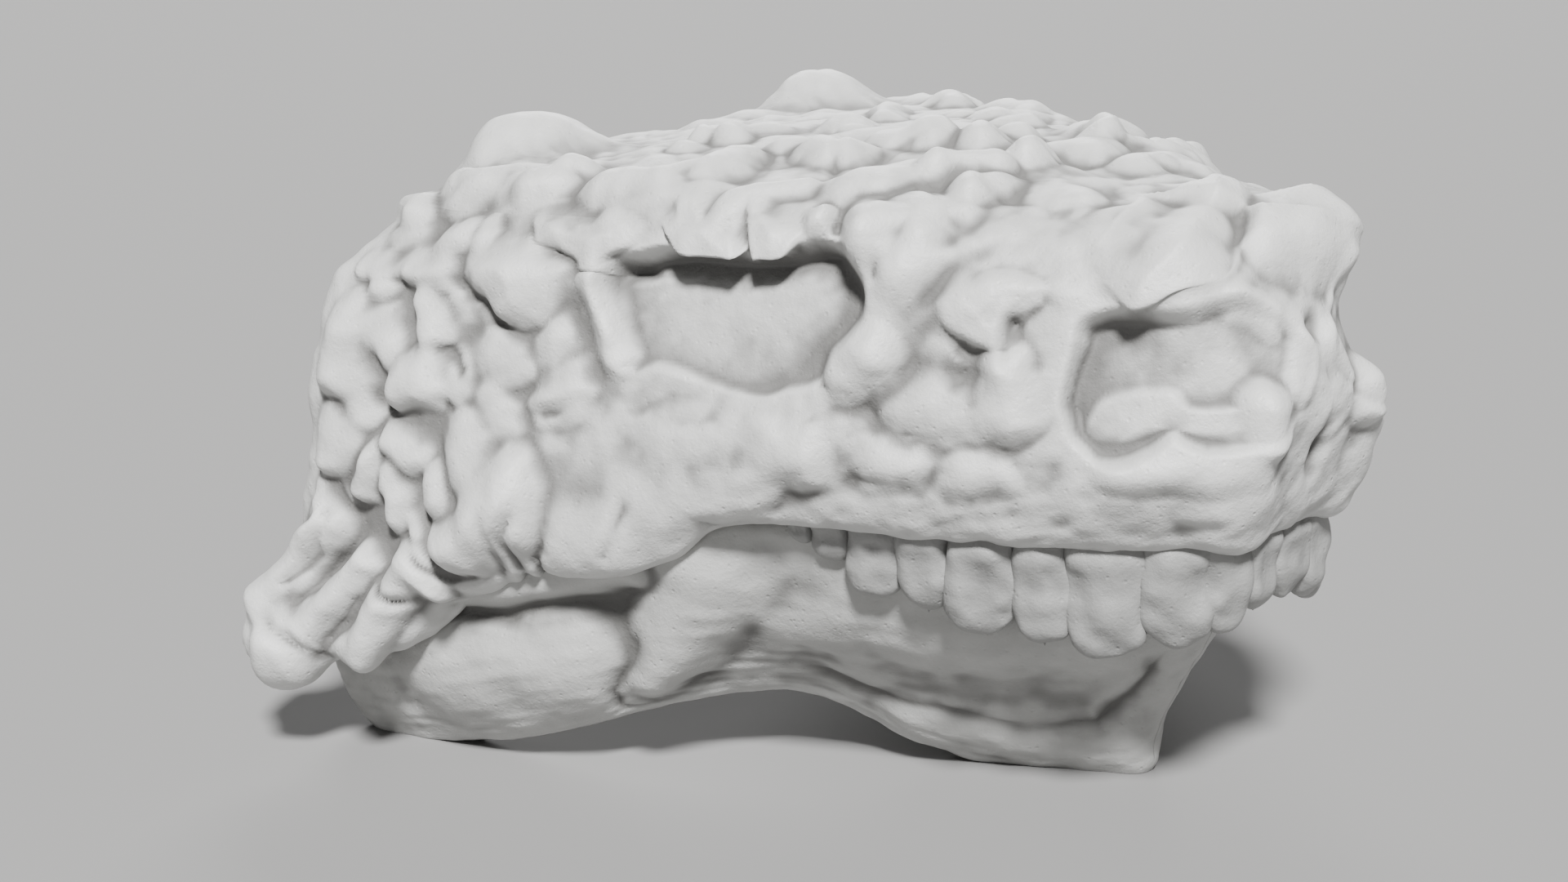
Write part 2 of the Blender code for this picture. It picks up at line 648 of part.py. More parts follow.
def part_cranium(cranium, parts, cutters):
    """Thin cuts part the skull into the pieces that a person would name."""
    blocks = (
        ("snout", (SNOUT_BACK, -FAR, JAW_LINE), (FAR, FAR, FAR)),
        ("upper_jaw", (EYE_BACK, -FAR, -FAR), (FAR, FAR, JAW_LINE)),
        ("skull_roof", (-FAR, -FAR, ROOF_LINE), (SNOUT_BACK, FAR, FAR)),
        ("orbit_right", (EYE_BACK, -FAR, JAW_LINE), (SNOUT_BACK, 0, ROOF_LINE)),
        ("orbit_left", (EYE_BACK, 0, JAW_LINE), (SNOUT_BACK, FAR, ROOF_LINE)),
        ("cheek_right", (-FAR, -FAR, -FAR), (EYE_BACK, -CORE_HALF_WIDTH, ROOF_LINE)),
        ("cheek_left", (-FAR, CORE_HALF_WIDTH, -FAR), (EYE_BACK, FAR, ROOF_LINE)),
        ("occiput", (-FAR, -FAR, -FAR), (EYE_BACK, FAR, ROOF_LINE)),
    )
    earlier = []
    for name, low, high in blocks:
        piece = duplicate(cranium, name, parts)
        own = block(name + "_block", low, high, 0, cutters)
        boolean(piece, own, "INTERSECT")
        for other_name, other_low, other_high in earlier:
            near = all(low[k] < other_high[k] + GAP and other_low[k] - GAP < high[k] for k in range(3))
            if near:
                grown = block(other_name + "_grown", other_low, other_high, GAP, cutters)
                boolean(piece, grown, "DIFFERENCE")
                discard(grown)
        discard(own)
        keep_largest(piece)
        earlier.append((name, low, high))
    discard(cranium)


def build_jaw(name, side, cranium, parts, cutters):
    """One half of the lower jaw, cut clear of the skull above it and flat where it rests."""
    cage = jaw_cage()
    stations, columns, _ = cage.shape
    places_along = np.arange(-STEPS_PAST_CHIN, (stations - 1) * STEPS_ALONG + 1) / STEPS_ALONG
    places_around = np.arange(columns * STEPS_AROUND) / STEPS_AROUND
    along, around = np.meshgrid(places_along, places_around, indexing="ij")
    base = jaw_surface(cage, along, around)
    normal = outward_normals(jaw_surface, cage, along, around, -1)
    lift = relief(base, jaw_surface, cage, JAW_BOSSES, JAW_GROOVES, (1,), SEED)
    rings = base + normal * lift[..., None]
    rings[..., 1] *= side
    ends = rings.mean(axis=1)
    jaw = closed_loft(name, rings, ends[0], ends[-1], parts, side < 0)
    recalculate(jaw)
    thin_out(jaw, JAW_TRIANGLES)
    if side > 0:
        half = block(name + "_half", (-FAR, -FAR, 0), (FAR, -GAP / 2, FAR), 0, cutters)
    else:
        half = block(name + "_half", (-FAR, GAP / 2, 0), (FAR, FAR, FAR), 0, cutters)
    boolean(jaw, half, "INTERSECT")
    discard(half)
    boolean(jaw, cranium, "DIFFERENCE")
    keep_largest(jaw)
    return jaw


def stand_over_origin(parts):
    """Moves every mesh so that the middle of the skull's length and width is over the origin."""
    corners = np.array([vertex.co for made in parts.objects for vertex in made.data.vertices])
    middle = (corners.min(axis=0) + corners.max(axis=0)) / 2
    for made in parts.objects:
        made.data.transform(Matrix.Translation((-middle[0], -middle[1], 0)))


def main():
    """Clears the scene and builds the skull."""
    for old in list(bpy.data.objects):
        bpy.data.objects.remove(old, do_unlink=True)
    parts = bpy.data.collections.new("pareiasaur_skull")
    cutters = bpy.data.collections.new("cutters")
    for collection in (parts, cutters):
        bpy.context.scene.collection.children.link(collection)
    cranium = build_cranium(parts)
    thin_out(cranium, SKULL_TRIANGLES)
    add_teeth(cranium, parts)
    clearance = duplicate(cranium, "clearance", cutters)
    clearance.hide_render = True
    clearance.display_type = "WIRE"
    grow = clearance.modifiers.new("grow", "DISPLACE")
    grow.strength = JAW_CLEARANCE
    grow.mid_level = 0
    apply_modifiers(clearance)
    for name, side in (("lower_jaw_right", 1), ("lower_jaw_left", -1)):
        build_jaw(name, side, clearance, parts, cutters)
    discard(clearance)
    part_cranium(cranium, parts, cutters)
    stand_over_origin(parts)
    for made in parts.objects:
        kind = made.name.removesuffix("_right").removesuffix("_left")
        made.data.materials.clear()
        made.data.materials.append(bone_material(made.name, BONE_TINTS[kind]))
        made.data.shade_flat()


main()
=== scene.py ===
import bpy
import numpy as np
from mathutils import Matrix, Vector


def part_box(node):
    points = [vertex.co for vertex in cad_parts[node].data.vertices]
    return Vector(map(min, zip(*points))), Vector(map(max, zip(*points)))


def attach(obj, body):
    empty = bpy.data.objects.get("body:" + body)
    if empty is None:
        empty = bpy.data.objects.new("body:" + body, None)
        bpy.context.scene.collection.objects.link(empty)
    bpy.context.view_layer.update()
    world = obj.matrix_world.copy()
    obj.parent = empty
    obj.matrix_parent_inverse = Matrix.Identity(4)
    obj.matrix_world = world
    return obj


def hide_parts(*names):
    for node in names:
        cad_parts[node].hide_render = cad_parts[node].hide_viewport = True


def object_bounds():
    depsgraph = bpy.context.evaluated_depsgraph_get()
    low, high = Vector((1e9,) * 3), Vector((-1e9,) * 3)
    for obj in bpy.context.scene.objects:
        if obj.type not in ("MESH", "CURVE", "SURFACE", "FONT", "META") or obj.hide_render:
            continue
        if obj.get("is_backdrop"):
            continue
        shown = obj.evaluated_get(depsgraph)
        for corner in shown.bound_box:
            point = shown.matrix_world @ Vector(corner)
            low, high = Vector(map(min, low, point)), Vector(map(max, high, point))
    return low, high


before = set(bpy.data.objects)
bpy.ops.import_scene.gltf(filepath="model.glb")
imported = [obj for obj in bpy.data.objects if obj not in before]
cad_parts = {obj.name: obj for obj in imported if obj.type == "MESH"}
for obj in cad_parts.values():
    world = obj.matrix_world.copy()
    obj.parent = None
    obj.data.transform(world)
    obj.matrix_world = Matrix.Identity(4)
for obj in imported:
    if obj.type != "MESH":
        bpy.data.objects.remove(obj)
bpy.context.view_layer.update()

# The skull as a whole. Its bones are grown together, so the outside is one surface that goes
# round the skull from the tip of the snout and down it from the crown to the palate. The
# places below are its bends, in millimetres forward, to the right and up.
places = {
    "snout_tip": ((160, 0, 238), (206, 0, 179), (188, 0, 120), 4),
    "snout_corner": ((148, 40, 238), (192, 46, 179), (182, 40, 121), 5),
    "nostril": ((112, 62, 242), (144, 80, 179), (140, 76, 122), 6),
    "before_eye": ((66, 88, 246), (88, 106, 180), (88, 104, 124), 7),
    "eye": ((8, 112, 248), (12, 135, 180), (20, 132, 124), 8),
    "behind_eye": ((-60, 126, 250), (-74, 163, 180), (-86, 180, 108), 6),
    "cheek": ((-108, 128, 253), (-134, 180, 178), (-142, 208, 62), -2),
    "cheek_corner": ((-152, 120, 253), (-190, 182, 178), (-206, 222, 58), -12),
    "squamosal": ((-172, 62, 255), (-174, 130, 184), (-184, 176, 90), 0),
    "occiput": ((-166, 0, 254), (-152, 0, 192), (-138, 0, 142), 0),
}
mm = 0.001
crown = np.array((-20, 0, 263), float)
palate = np.array((0, 0, 134), float)
roof_rings = (0.36, 0.72)
brow_reach = 0.68
brow_drop = 0.38
rim_thickness = 28
palate_step = 18
shelf_rise = 4
palate_edge = 114
snout_back = 0.070
core_half_width = 0.075
rim_row = 7.0
centring = np.array((
    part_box("snout")[0].x - snout_back,
    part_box("cheek_left")[0].y - core_half_width,
    0,
))


def moved_inwards(points, distance):
    """Points moved level towards the upright line through the crown."""
    towards = (crown - points) * (1, 1, 0)
    length = np.linalg.norm(towards, axis=-1, keepdims=True)
    return points + towards / np.maximum(length, 1) * distance


def in_frame(points):
    """Drawn millimetres forward, right and up become metres in the frame of the solids."""
    return np.asarray(points, float) * (mm, -mm, mm) + centring


def skull_cage():
    """Rings of bends from the crown to the palate, the left half mirrored from the right."""
    eave, waist, rim = (np.array([p[k] for p in places.values()], float) for k in range(3))
    bulge = np.array([[p[3]] for p in places.values()], float)
    brow = eave + (waist - eave) * (brow_reach, brow_reach, brow_drop)
    cheek = moved_inwards((waist + rim) / 2, -bulge)
    lip = moved_inwards(rim, rim_thickness)
    shelf = moved_inwards(lip, palate_step)
    shelf[:, 2] = np.maximum(rim[:, 2] + shelf_rise, palate_edge)
    rings = [np.repeat(crown[None], len(eave), 0)]
    for share in roof_rings:
        ring = crown + (eave - crown) * share
        ring[:, 2] = crown[2] + (eave[:, 2] - crown[2]) * share ** 2
        rings.append(ring)
    rings += [eave, brow, waist, cheek, rim, lip, shelf, (palate + shelf) / 2]
    rings.append(np.repeat(palate[None], len(eave), 0))
    half = np.array(rings)
    return in_frame(np.concatenate([half, half[:, -2:0:-1] * (1, -1, 1)], axis=1))


def smooth_curve(before, start, end, after, share):
    """A cubic from start to end, with the slope at each end set by the points beside it."""
    return 0.5 * (
        2 * start
        + (end - before) * share
        + (2 * before - 5 * start + 4 * end - after) * share ** 2
        + (3 * start - before - 3 * end + after) * share ** 3
    )


def patchwork(padded, first, second):
    """Smooth curves through a grid of bends, closed round the second way."""
    columns = padded.shape[1]
    row = np.clip(np.floor(first).astype(int), 0, len(padded) - 4)
    column = np.floor(second).astype(int)
    across = (second - column)[..., None]
    curves = [
        smooth_curve(*[padded[row + k, (column + j - 1) % columns] for j in range(4)], across)
        for k in range(4)
    ]
    return smooth_curve(*curves, (first - row)[..., None])


cage = skull_cage()
columns = cage.shape[1]


def skull_surface(down, around):
    """The bare form of the skull. Past the crown and the palate a curve leans on the ring
    across from it."""
    over_crown = np.roll(cage[1], columns // 2, axis=0)
    over_palate = np.roll(cage[-2], columns // 2, axis=0)
    return patchwork(np.concatenate([over_crown[None], cage, over_palate[None]]), down, around)


def unit(vectors):
    """Vectors over their lengths."""
    return vectors / np.maximum(np.linalg.norm(vectors, axis=-1, keepdims=True), 1e-12)


def facing(surface, first, second):
    """Unit normals: the cross product of the surface's slopes along its two parameters."""
    step = 0.02
    along = surface(first + step, second) - surface(first - step, second)
    across = surface(first, second + step) - surface(first, second - step)
    return unit(np.cross(across, along))


def smooth_step(value):
    """0 below 0, 1 above 1, and between them an even S: 3 t squared less 2 t cubed."""
    value = np.clip(value, 0, 1)
    return value * value * (3 - 2 * value)


def even_noise(points, size, seed):
    """Smooth values from -1 to 1: a draw at each corner of a lattice of cubes of this size,
    and inside a cube an S-shaped mix of the draws at its eight corners."""
    side = 32
    draws = np.random.default_rng(seed).uniform(-1, 1, (side, side, side))
    cell = points / size
    low = np.floor(cell).astype(int)
    share = smooth_step(cell - low)
    total = np.zeros(points.shape[:-1])
    for corner in np.ndindex(2, 2, 2):
        weight = np.where(corner, share, 1 - share).prod(axis=-1)
        x, y, z = np.moveaxis((low + corner) % side, -1, 0)
        total += weight * draws[x, y, z]
    return total


def uneven(points, *layers):
    """The sum of layers of even noise, each given by its height, its size and its seed."""
    return sum(height * even_noise(points, size, seed) for height, size, seed in layers)


def pebbles(points, size, seed):
    """Domes side by side, from 0 to 1: each cube of a lattice has a centre drawn in it, and a
    point's height is 1 less its distance to the nearest centre, squared."""
    side = 32
    draws = np.random.default_rng(seed).uniform(0.1, 0.9, (side, side, side, 3))
    cell = points / size
    low = np.floor(cell).astype(int)
    nearest = np.full(points.shape[:-1], 9.0)
    for corner in np.ndindex(3, 3, 3):
        cube = low + corner - 1
        x, y, z = np.moveaxis(cube % side, -1, 0)
        away = ((cube + draws[x, y, z] - cell) ** 2).sum(axis=-1)
        nearest = np.minimum(nearest, away)
    return np.clip(1 - nearest, 0, 1)


def off_line(points, start, end):
    """How far along a straight line each point lies, from 0 to 1, and how far off it."""
    line = end - start
    share = np.clip((points - start) @ line / max(line @ line, 1e-12), 0, 1)
    return share, np.linalg.norm(points - start - share[..., None] * line, axis=-1)


def stroke(points, start, end, start_width, end_width, roundness):
    """Height of a rounded ridge from start to end, 1 on its line and 0 past its half width:
    one less the distance squared, as shares of the half width, to the power of roundness."""
    share, distance = off_line(points, start, end)
    width = start_width + (end_width - start_width) * share
    return np.clip(1 - (distance / width) ** 2, 0, 1) ** roundness


def from_snout(around):
    """Places round the skull, counted from the tip of the snout, less than 0 on the left."""
    return (around + columns / 2) % columns - columns / 2


def inside_outline(around, down, outline, side):
    """Distance in millimetres to an outline of places, more than 0 inside it and less outside.
    A place round the skull counts as so many millimetres, and a place down it likewise. The
    outline is a smooth line through its places, with two points set between each two: nine
    sixteenths of the near ones less a sixteenth of the far ones. Only points near it count."""
    column_width, row_height, reach = 48, 38, 20
    corners = np.array(outline, float) * (column_width, row_height)
    for _ in range(2):
        before, ahead, far_ahead = (np.roll(corners, shift, axis=0) for shift in (1, -1, -2))
        between = (corners + ahead) * 9 / 16 - (before + far_ahead) / 16
        corners = np.stack([corners, between], axis=1).reshape(-1, 2)
    x = from_snout(side * around) * column_width
    y = down * row_height
    low, high = corners.min(axis=0) - reach, corners.max(axis=0) + reach
    near = (x > low[0]) & (x < high[0]) & (y > low[1]) & (y < high[1])
    distance = np.full(x.shape, -99.0)
    x, y = x[near], y[near]
    nearest = np.full(x.shape, 1e9)
    inside = np.zeros(x.shape, bool)
    for (x0, y0), (x1, y1) in zip(corners, np.roll(corners, -1, axis=0)):
        length = (x1 - x0) ** 2 + (y1 - y0) ** 2
        share = np.clip(((x - x0) * (x1 - x0) + (y - y0) * (y1 - y0)) / length, 0, 1)
        gap = np.hypot(x - x0 - share * (x1 - x0), y - y0 - share * (y1 - y0))
        nearest = np.minimum(nearest, gap)
        rise = y1 - y0 if y1 != y0 else 1e-9
        inside ^= ((y0 > y) != (y1 > y)) & (x < x0 + (y - y0) * (x1 - x0) / rise)
    distance[near] = np.where(inside, nearest, -nearest)
    return distance


# Bosses that the photograph shows on the right side: the spots where each starts and ends, in
# the photograph's pixels, then the half width at both ends, the height and how far the boss
# hangs over what is below it, in millimetres. These are the broad, low ones.
swellings_seen = {
    "horn_foot": (650, 225, 610, 215, 24, 20, 5, 0),
    "roof_swelling": (735, 215, 810, 205, 17, 17, 8, 0),
    "roof_ridge": (760, 240, 860, 225, 16, 16, 4, 0),
    "over_brow": (890, 235, 990, 218, 10, 10, 5, 0),
    "frontal": (1060, 205, 1110, 195, 22, 22, 8, 0),
    "prefrontal": (1115, 262, 1135, 235, 18, 14, 6, 0),
    "prefrontal_front": (1172, 245, 1180, 222, 12, 10, 4, 0),
    "nasal_ridge": (1280, 228, 1320, 232, 20, 16, 4, 0),
    "nasal_core": (1448, 270, 1462, 330, 38, 34, 6, 2),
    "cheek_bulge": (500, 480, 470, 560, 36, 36, 4, 0),
    "before_eye_wall": (1075, 300, 1075, 400, 19, 19, 4, 0),
    "maxilla": (1100, 500, 1170, 505, 18, 18, 5, 2),
    "cheek_bar": (1000, 520, 820, 560, 25, 25, 3, 0),
    "ridge": (600, 640, 900, 600, 21, 18, 5, 3),
    "lip_side": (1330, 610, 1530, 600, 20, 20, 4, 0),
    "premaxilla": (1682, 575, 1668, 625, 24, 22, 3, 2),
}
# Bosses that the photograph doesn't show or shows only from the edge, as a place round the
# skull and a place down it for both ends, then the same sizes
swellings_placed = {
    "ridge_sag": (5.0, 7.0, 4.4, 7.0, 45, 38, 4, 13),
    "cheek_back": (6.9, 4.5, 6.9, 5.9, 34, 34, 8, 0),
    "squamosal_boss": (7.7, 4.4, 7.6, 4.9, 27, 27, 8, 0),
    "squamosal_low": (7.6, 5.7, 7.5, 6.1, 25, 25, 8, 0),
    "condyle": (9.0, 5.35, 9.0, 5.55, 19, 18, 13, 0),
    "flange_corner": (6.85, 7.25, 7.05, 7.35, 27, 29, 12, 4),
    "flange_edge": (6.55, 7.2, 6.7, 7.25, 20, 22, 8, 3),
}
knobs_placed = {
    "horn": (7.3, 2.64, 7.4, 2.54, 40, 36, 23, 0),
}
# The small, high ones
knobs_seen = {
    "horn_front": (700, 190, 712, 186, 16, 13, 9, 0),
    "back_edge_a": (562, 222, 556, 215, 19, 17, 10, 0),
    "back_edge_b": (505, 245, 500, 238, 14, 13, 8, 0),
    "back_edge_c": (640, 215, 655, 212, 11, 10, 5, 0),
    "back_edge_d": (672, 213, 685, 214, 10, 9, 5, 0),
    "fold_a": (548, 288, 556, 284, 15, 12, 6, 0),
    "fold_b": (588, 284, 592, 278, 10, 9, 5, 0),
    "roof_edge": (440, 322, 540, 318, 8, 10, 6, 2),
    "pre_orbital": (1052, 280, 1058, 265, 16, 15, 9, 0),
    "lobe": (1100, 325, 1112, 318, 16, 16, 5, 0),
    "brow_bead": (1000, 262, 1003, 257, 9, 8, 6, 0),
    "temple_low": (665, 430, 675, 420, 16, 15, 4, 0),
    "cheek_bead": (672, 478, 692, 466, 17, 16, 6, 2),
    "eye_bar": (716, 345, 748, 440, 9, 10, 5, 0),
    "eye_corner": (1032, 462, 1055, 440, 17, 17, 9, 2),
    "maxilla_bead": (1222, 450, 1234, 512, 13, 16, 8, 2),
    "hook_tip": (1242, 366, 1258, 350, 8, 7, 4, 1),
    "hook_lobe": (1172, 375, 1185, 395, 13, 12, 3, 1),
    "lip_tip": (1572, 515, 1570, 540, 15, 15, 10, 0),
    "nostril_lip": (1370, 580, 1545, 560, 13, 16, 6, 0),
    "nostril_roof": (1522, 366, 1562, 392, 10, 9, 3, 0),
    "nostril_front": (1605, 420, 1596, 480, 10, 9, 3, 0),
    "maxilla_a": (940, 562, 975, 568, 19, 16, 5, 0),
    "maxilla_b": (1070, 575, 1105, 580, 15, 12, 4, 0),
    "maxilla_c": (1175, 590, 1215, 590, 13, 11, 4, 0),
    "cheek_a": (455, 330, 455, 352, 12, 12, 9, 0),
    "cheek_b": (408, 415, 402, 455, 21, 21, 14, 0),
    "cheek_c": (437, 372, 438, 382, 10, 9, 5, 0),
    "cheek_d": (450, 400, 458, 428, 17, 16, 10, 0),
    "cheek_e": (512, 372, 520, 412, 12, 13, 8, 1),
    "cheek_f": (500, 328, 538, 336, 11, 11, 6, 0),
    "cheek_g": (478, 462, 502, 470, 18, 17, 12, 3),
    "cheek_h": (562, 458, 561, 482, 14, 14, 5, 0),
    "cheek_i": (428, 480, 432, 512, 13, 13, 9, 0),
    "cheek_j": (402, 535, 398, 565, 20, 19, 12, 0),
    "cheek_ring": (470, 545, 492, 560, 13, 13, 8, 0),
    "cheek_k": (522, 585, 522, 602, 12, 12, 10, 1),
    "cheek_l": (566, 540, 568, 580, 20, 20, 8, 0),
    "cheek_m": (440, 565, 434, 590, 13, 13, 10, 1),
    "cheek_n": (472, 582, 474, 594, 11, 11, 6, 0),
    "cheek_o": (480, 612, 478, 632, 11, 10, 8, 0),
    "cheek_p": (500, 632, 501, 646, 8, 8, 6, 0),
    "cheek_q": (395, 605, 425, 600, 14, 14, 6, 0),
    "cheek_r": (600, 440, 625, 450, 17, 16, 5, 0),
    "cheek_s": (520, 445, 530, 470, 10, 10, 5, 0),
    "cheek_t": (600, 490, 610, 520, 16, 16, 4, 0),
    "cheek_boss": (500, 692, 505, 715, 16, 16, 11, 1),
    "cheek_point": (600, 600, 528, 655, 22, 13, 15, 4),
    "ridge_boss": (685, 645, 740, 648, 19, 19, 4, 1),
    "finger_outer": (385, 635, 308, 725, 17, 17, 14, 0),
    "finger_a": (395, 655, 355, 700, 12, 12, 8, 0),
    "finger_bump": (368, 712, 366, 732, 10, 10, 8, 0),
    "finger_b": (430, 690, 368, 768, 12, 13, 11, 1),
    "finger_c": (485, 700, 425, 805, 13, 16, 11, 1),
    "finger_low": (345, 760, 318, 790, 18, 18, 10, 0),
}
# Knobs of the roof on both sides of its middle, and the boss on the far side of the snout
roof_knobs_seen = {
    "far_nasal": (1580, 262, 1628, 262, 27, 25, 14, 0),
    "far_horn_front": (1030, 134, 1034, 134, 16, 15, 8, 0),
    "knob_a": (1086, 124, 1087, 118, 10, 10, 7, 0),
    "knob_b": (1130, 148, 1150, 146, 17, 16, 9, 0),
    "knob_c": (1200, 150, 1204, 148, 15, 13, 9, 0),
    "knob_d": (1245, 152, 1248, 150, 11, 11, 6, 0),
    "knob_e": (1262, 170, 1266, 168, 15, 13, 10, 0),
    "knob_f": (1155, 184, 1212, 184, 13, 13, 9, 0),
    "knob_g": (1005, 165, 1030, 168, 16, 17, 9, 0),
    "knob_h": (925, 152, 940, 150, 13, 12, 6, 0),
    "knob_i": (890, 150, 896, 148, 13, 12, 10, 0),
    "knob_j": (858, 154, 860, 152, 10, 9, 9, 0),
    "knob_k": (840, 170, 843, 168, 9, 8, 6, 0),
    "knob_l": (870, 190, 895, 178, 16, 15, 9, 0),
    "knob_m": (1330, 168, 1360, 162, 20, 18, 7, 0),
    "knob_n": (1400, 192, 1410, 190, 15, 13, 5, 0),
    "knob_o": (1215, 212, 1195, 214, 15, 13, 6, 0),
    "knob_p": (955, 172, 975, 170, 12, 11, 5, 0),
    "knob_q": (1100, 160, 1080, 158, 11, 11, 6, 0),
}
# Folds between bosses: the spots along each, its half width and its depth
folds_seen = {
    "under_temple": ((566, 318, 562, 342, 576, 358, 590, 368, 600, 392, 622, 400, 645, 398), 8, 5),
    "under_bar": ((650, 292, 680, 306, 700, 326), 8, 5),
    "bar_hollow": ((748, 326, 772, 326), 9, 5),
    "bar_valley": ((700, 350, 700, 400, 708, 445), 11, 4),
    "bead_edge": ((652, 496, 680, 502, 712, 490), 6, 3),
    "cheek_diag_a": ((540, 408, 552, 428, 568, 438, 574, 455, 571, 480), 5, 4),
    "cheek_diag_b": ((540, 482, 555, 500, 566, 512), 5, 3),
    "cheek_diag_c": ((496, 384, 504, 412, 520, 434), 5, 4),
    "cheek_g_edge": ((456, 468, 470, 488, 498, 498), 5, 5),
    "flange_a": ((420, 612, 385, 640, 350, 682, 335, 718, 308, 762), 6, 5),
    "flange_b": ((432, 600, 420, 640, 408, 680, 385, 698, 362, 712), 5, 4),
    "flange_c": ((448, 670, 405, 706, 370, 748), 5, 4),
    "flange_d": ((456, 708, 428, 742, 396, 795), 6, 5),
    "fingers_end": ((338, 738, 350, 772, 385, 790, 420, 820), 6, 4),
    "under_boss": ((470, 690, 472, 715, 490, 733, 520, 732), 5, 4),
    "under_point": ((508, 655, 522, 676, 548, 683, 590, 662), 5, 4),
    "fold_a": ((611, 590, 611, 640, 618, 690), 5, 3),
    "fold_b": ((650, 590, 626, 630, 640, 670, 660, 696), 5, 4),
    "fold_c": ((672, 620, 658, 650, 668, 680, 690, 694), 5, 4),
    "fold_d": ((762, 600, 745, 640), 5, 2),
    "brow_gap": ((908, 252, 911, 285, 913, 314), 4, 3),
    "knob_gap": ((1026, 258, 1026, 285, 1042, 318), 5, 4),
    "eye_corner_a": ((1001, 452, 1008, 475, 1022, 492), 5, 4),
    "eye_corner_b": ((1020, 482, 1045, 486, 1056, 502, 1090, 524, 1158, 546), 11, 3.5),
    "eye_corner_c": ((985, 470, 982, 492, 988, 512), 5, 3),
    "hook_under": ((1150, 396, 1176, 414, 1192, 430, 1210, 433), 7, 5),
    "hook_side": ((1262, 366, 1246, 382, 1238, 402, 1236, 424), 6, 5),
    "groove": ((1146, 440, 1160, 456, 1185, 470, 1198, 490), 8, 5),
    "bead_under": ((1200, 512, 1222, 532, 1246, 530, 1270, 515), 11, 3),
    "roof_line": ((1030, 248, 1085, 238, 1122, 222, 1150, 236, 1168, 254), 6, 2),
    "roof_line_b": ((1150, 218, 1200, 220, 1222, 244, 1290, 252, 1400, 246), 6, 2),
    "frontal_edge": ((1018, 218, 1032, 190, 1065, 172), 5, 2),
    "lobe_edge": ((1076, 302, 1070, 335), 5, 2),
    "nostril_rim": ((1328, 420, 1316, 460, 1312, 500, 1320, 535, 1345, 558, 1385, 556), 4, 3),
    "maxilla_line": ((1160, 596, 1186, 614, 1222, 610), 11, 2),
    "maxilla_line_c": ((1050, 590, 1122, 602), 11, 2),
}
folds_placed = {
    "foramen_magnum": (((9.0, 4.88), (9.0, 4.98)), 25, 9),
    "post_temporal": (((8.05, 4.9), (7.92, 5.25)), 27, 9),
    "snout_middle": (((0.0, 4.4), (0.0, 6.2)), 9, 3),
}
# Plates with steep edges: an outline, then the height, the width of the edge and the overhang
plates_seen = {
    "brow_back": ((803, 284, 822, 264, 836, 240, 856, 232, 880, 244, 905, 250, 906, 314, 880, 320, 850,
        314, 828, 306), 15, 4, 8),
    "brow_front": ((911, 252, 938, 250, 962, 264, 980, 277, 978, 294, 962, 314, 928, 320, 911, 316), 14,
        4, 8),
    "temple": ((568, 318, 562, 340, 576, 356, 592, 370, 602, 394, 640, 398, 662, 372, 668, 330, 650,
        300, 610, 298), 15, 16, 3),
    "t_bar": ((650, 286, 658, 266, 686, 256, 720, 268, 764, 262, 778, 284, 764, 304, 738, 316, 735, 335,
        706, 335, 700, 322, 680, 306, 655, 297), 10, 6, 4),
    "hook": ((1190, 345, 1225, 333, 1262, 342, 1266, 356, 1244, 374, 1235, 400, 1232, 428, 1205, 430,
        1176, 414, 1150, 396, 1146, 366, 1160, 350), 8, 6, 2),
    "nasal": ((1440, 238, 1480, 236, 1510, 256, 1530, 280, 1520, 310, 1500, 346, 1440, 368, 1415, 380,
        1378, 386, 1356, 352, 1364, 312, 1398, 262), 14, 11, 10),
    "nostril_fold": ((1335, 500, 1365, 487, 1400, 480, 1440, 484, 1462, 500, 1500, 504, 1560, 496, 1580,
        530, 1500, 560, 1440, 560, 1360, 575, 1322, 540), 5, 6, 0),
}
# Openings, filled with rock: an outline, then how deep the filling lies at the top behind and
# in front and at the bottom behind and in front, and the width of the edge
openings_seen = {
    "eye_socket": ((744, 362, 748, 336, 772, 318, 830, 312, 900, 316, 960, 312, 1000, 300, 1024, 308,
        1042, 338, 1048, 365, 1044, 390, 1030, 412, 1010, 428, 1001, 450, 985, 467, 925, 476, 890, 470,
        850, 456, 800, 440, 768, 446, 754, 400), (15, 14, 1, 5), 5),
    "nostril": ((1340, 402, 1375, 390, 1420, 386, 1470, 380, 1520, 372, 1566, 396, 1600, 430, 1600, 470,
        1588, 500, 1560, 530, 1480, 546, 1440, 530, 1405, 546, 1360, 562, 1335, 550, 1318, 528, 1312,
        490, 1326, 445, 1330, 420), (13, 3, 8, 1), 6),
    "antorbital": ((1262, 362, 1240, 380, 1232, 405, 1231, 428, 1244, 444, 1290, 452, 1310, 430, 1300,
        380), (3, 0, 2, 0), 5),
}
crest_power = 3
lean_back = 0.22
lean_down = 0.26
swelling_roundness = 1.8
knob_roundness = 1.9
roof_knob_roundness = 1.6
far_share = 0.3

# The view of the photograph: how far round the skull and above it the camera stands, in degrees,
# how it is rolled, its distance from the point it looks at, and half the height of the view
camera_azimuth = np.radians(47.5)
camera_elevation = np.radians(14.5)
camera_roll = np.radians(-3.5)
camera_distance = 0.985
half_view = np.radians(11)
photo_width = 1920
photo_height = 1080
looked_at = np.array((-0.031, -0.059, 0.134)) + centring
backwards = np.array((
    np.sin(camera_azimuth) * np.cos(camera_elevation),
    -np.cos(camera_azimuth) * np.cos(camera_elevation),
    np.sin(camera_elevation),
))
level_right = np.array((np.cos(camera_azimuth), np.sin(camera_azimuth), 0))
level_up = np.cross(backwards, level_right)
to_right = level_right * np.cos(camera_roll) + level_up * np.sin(camera_roll)
to_top = level_up * np.cos(camera_roll) - level_right * np.sin(camera_roll)
camera_point = looked_at + backwards * camera_distance
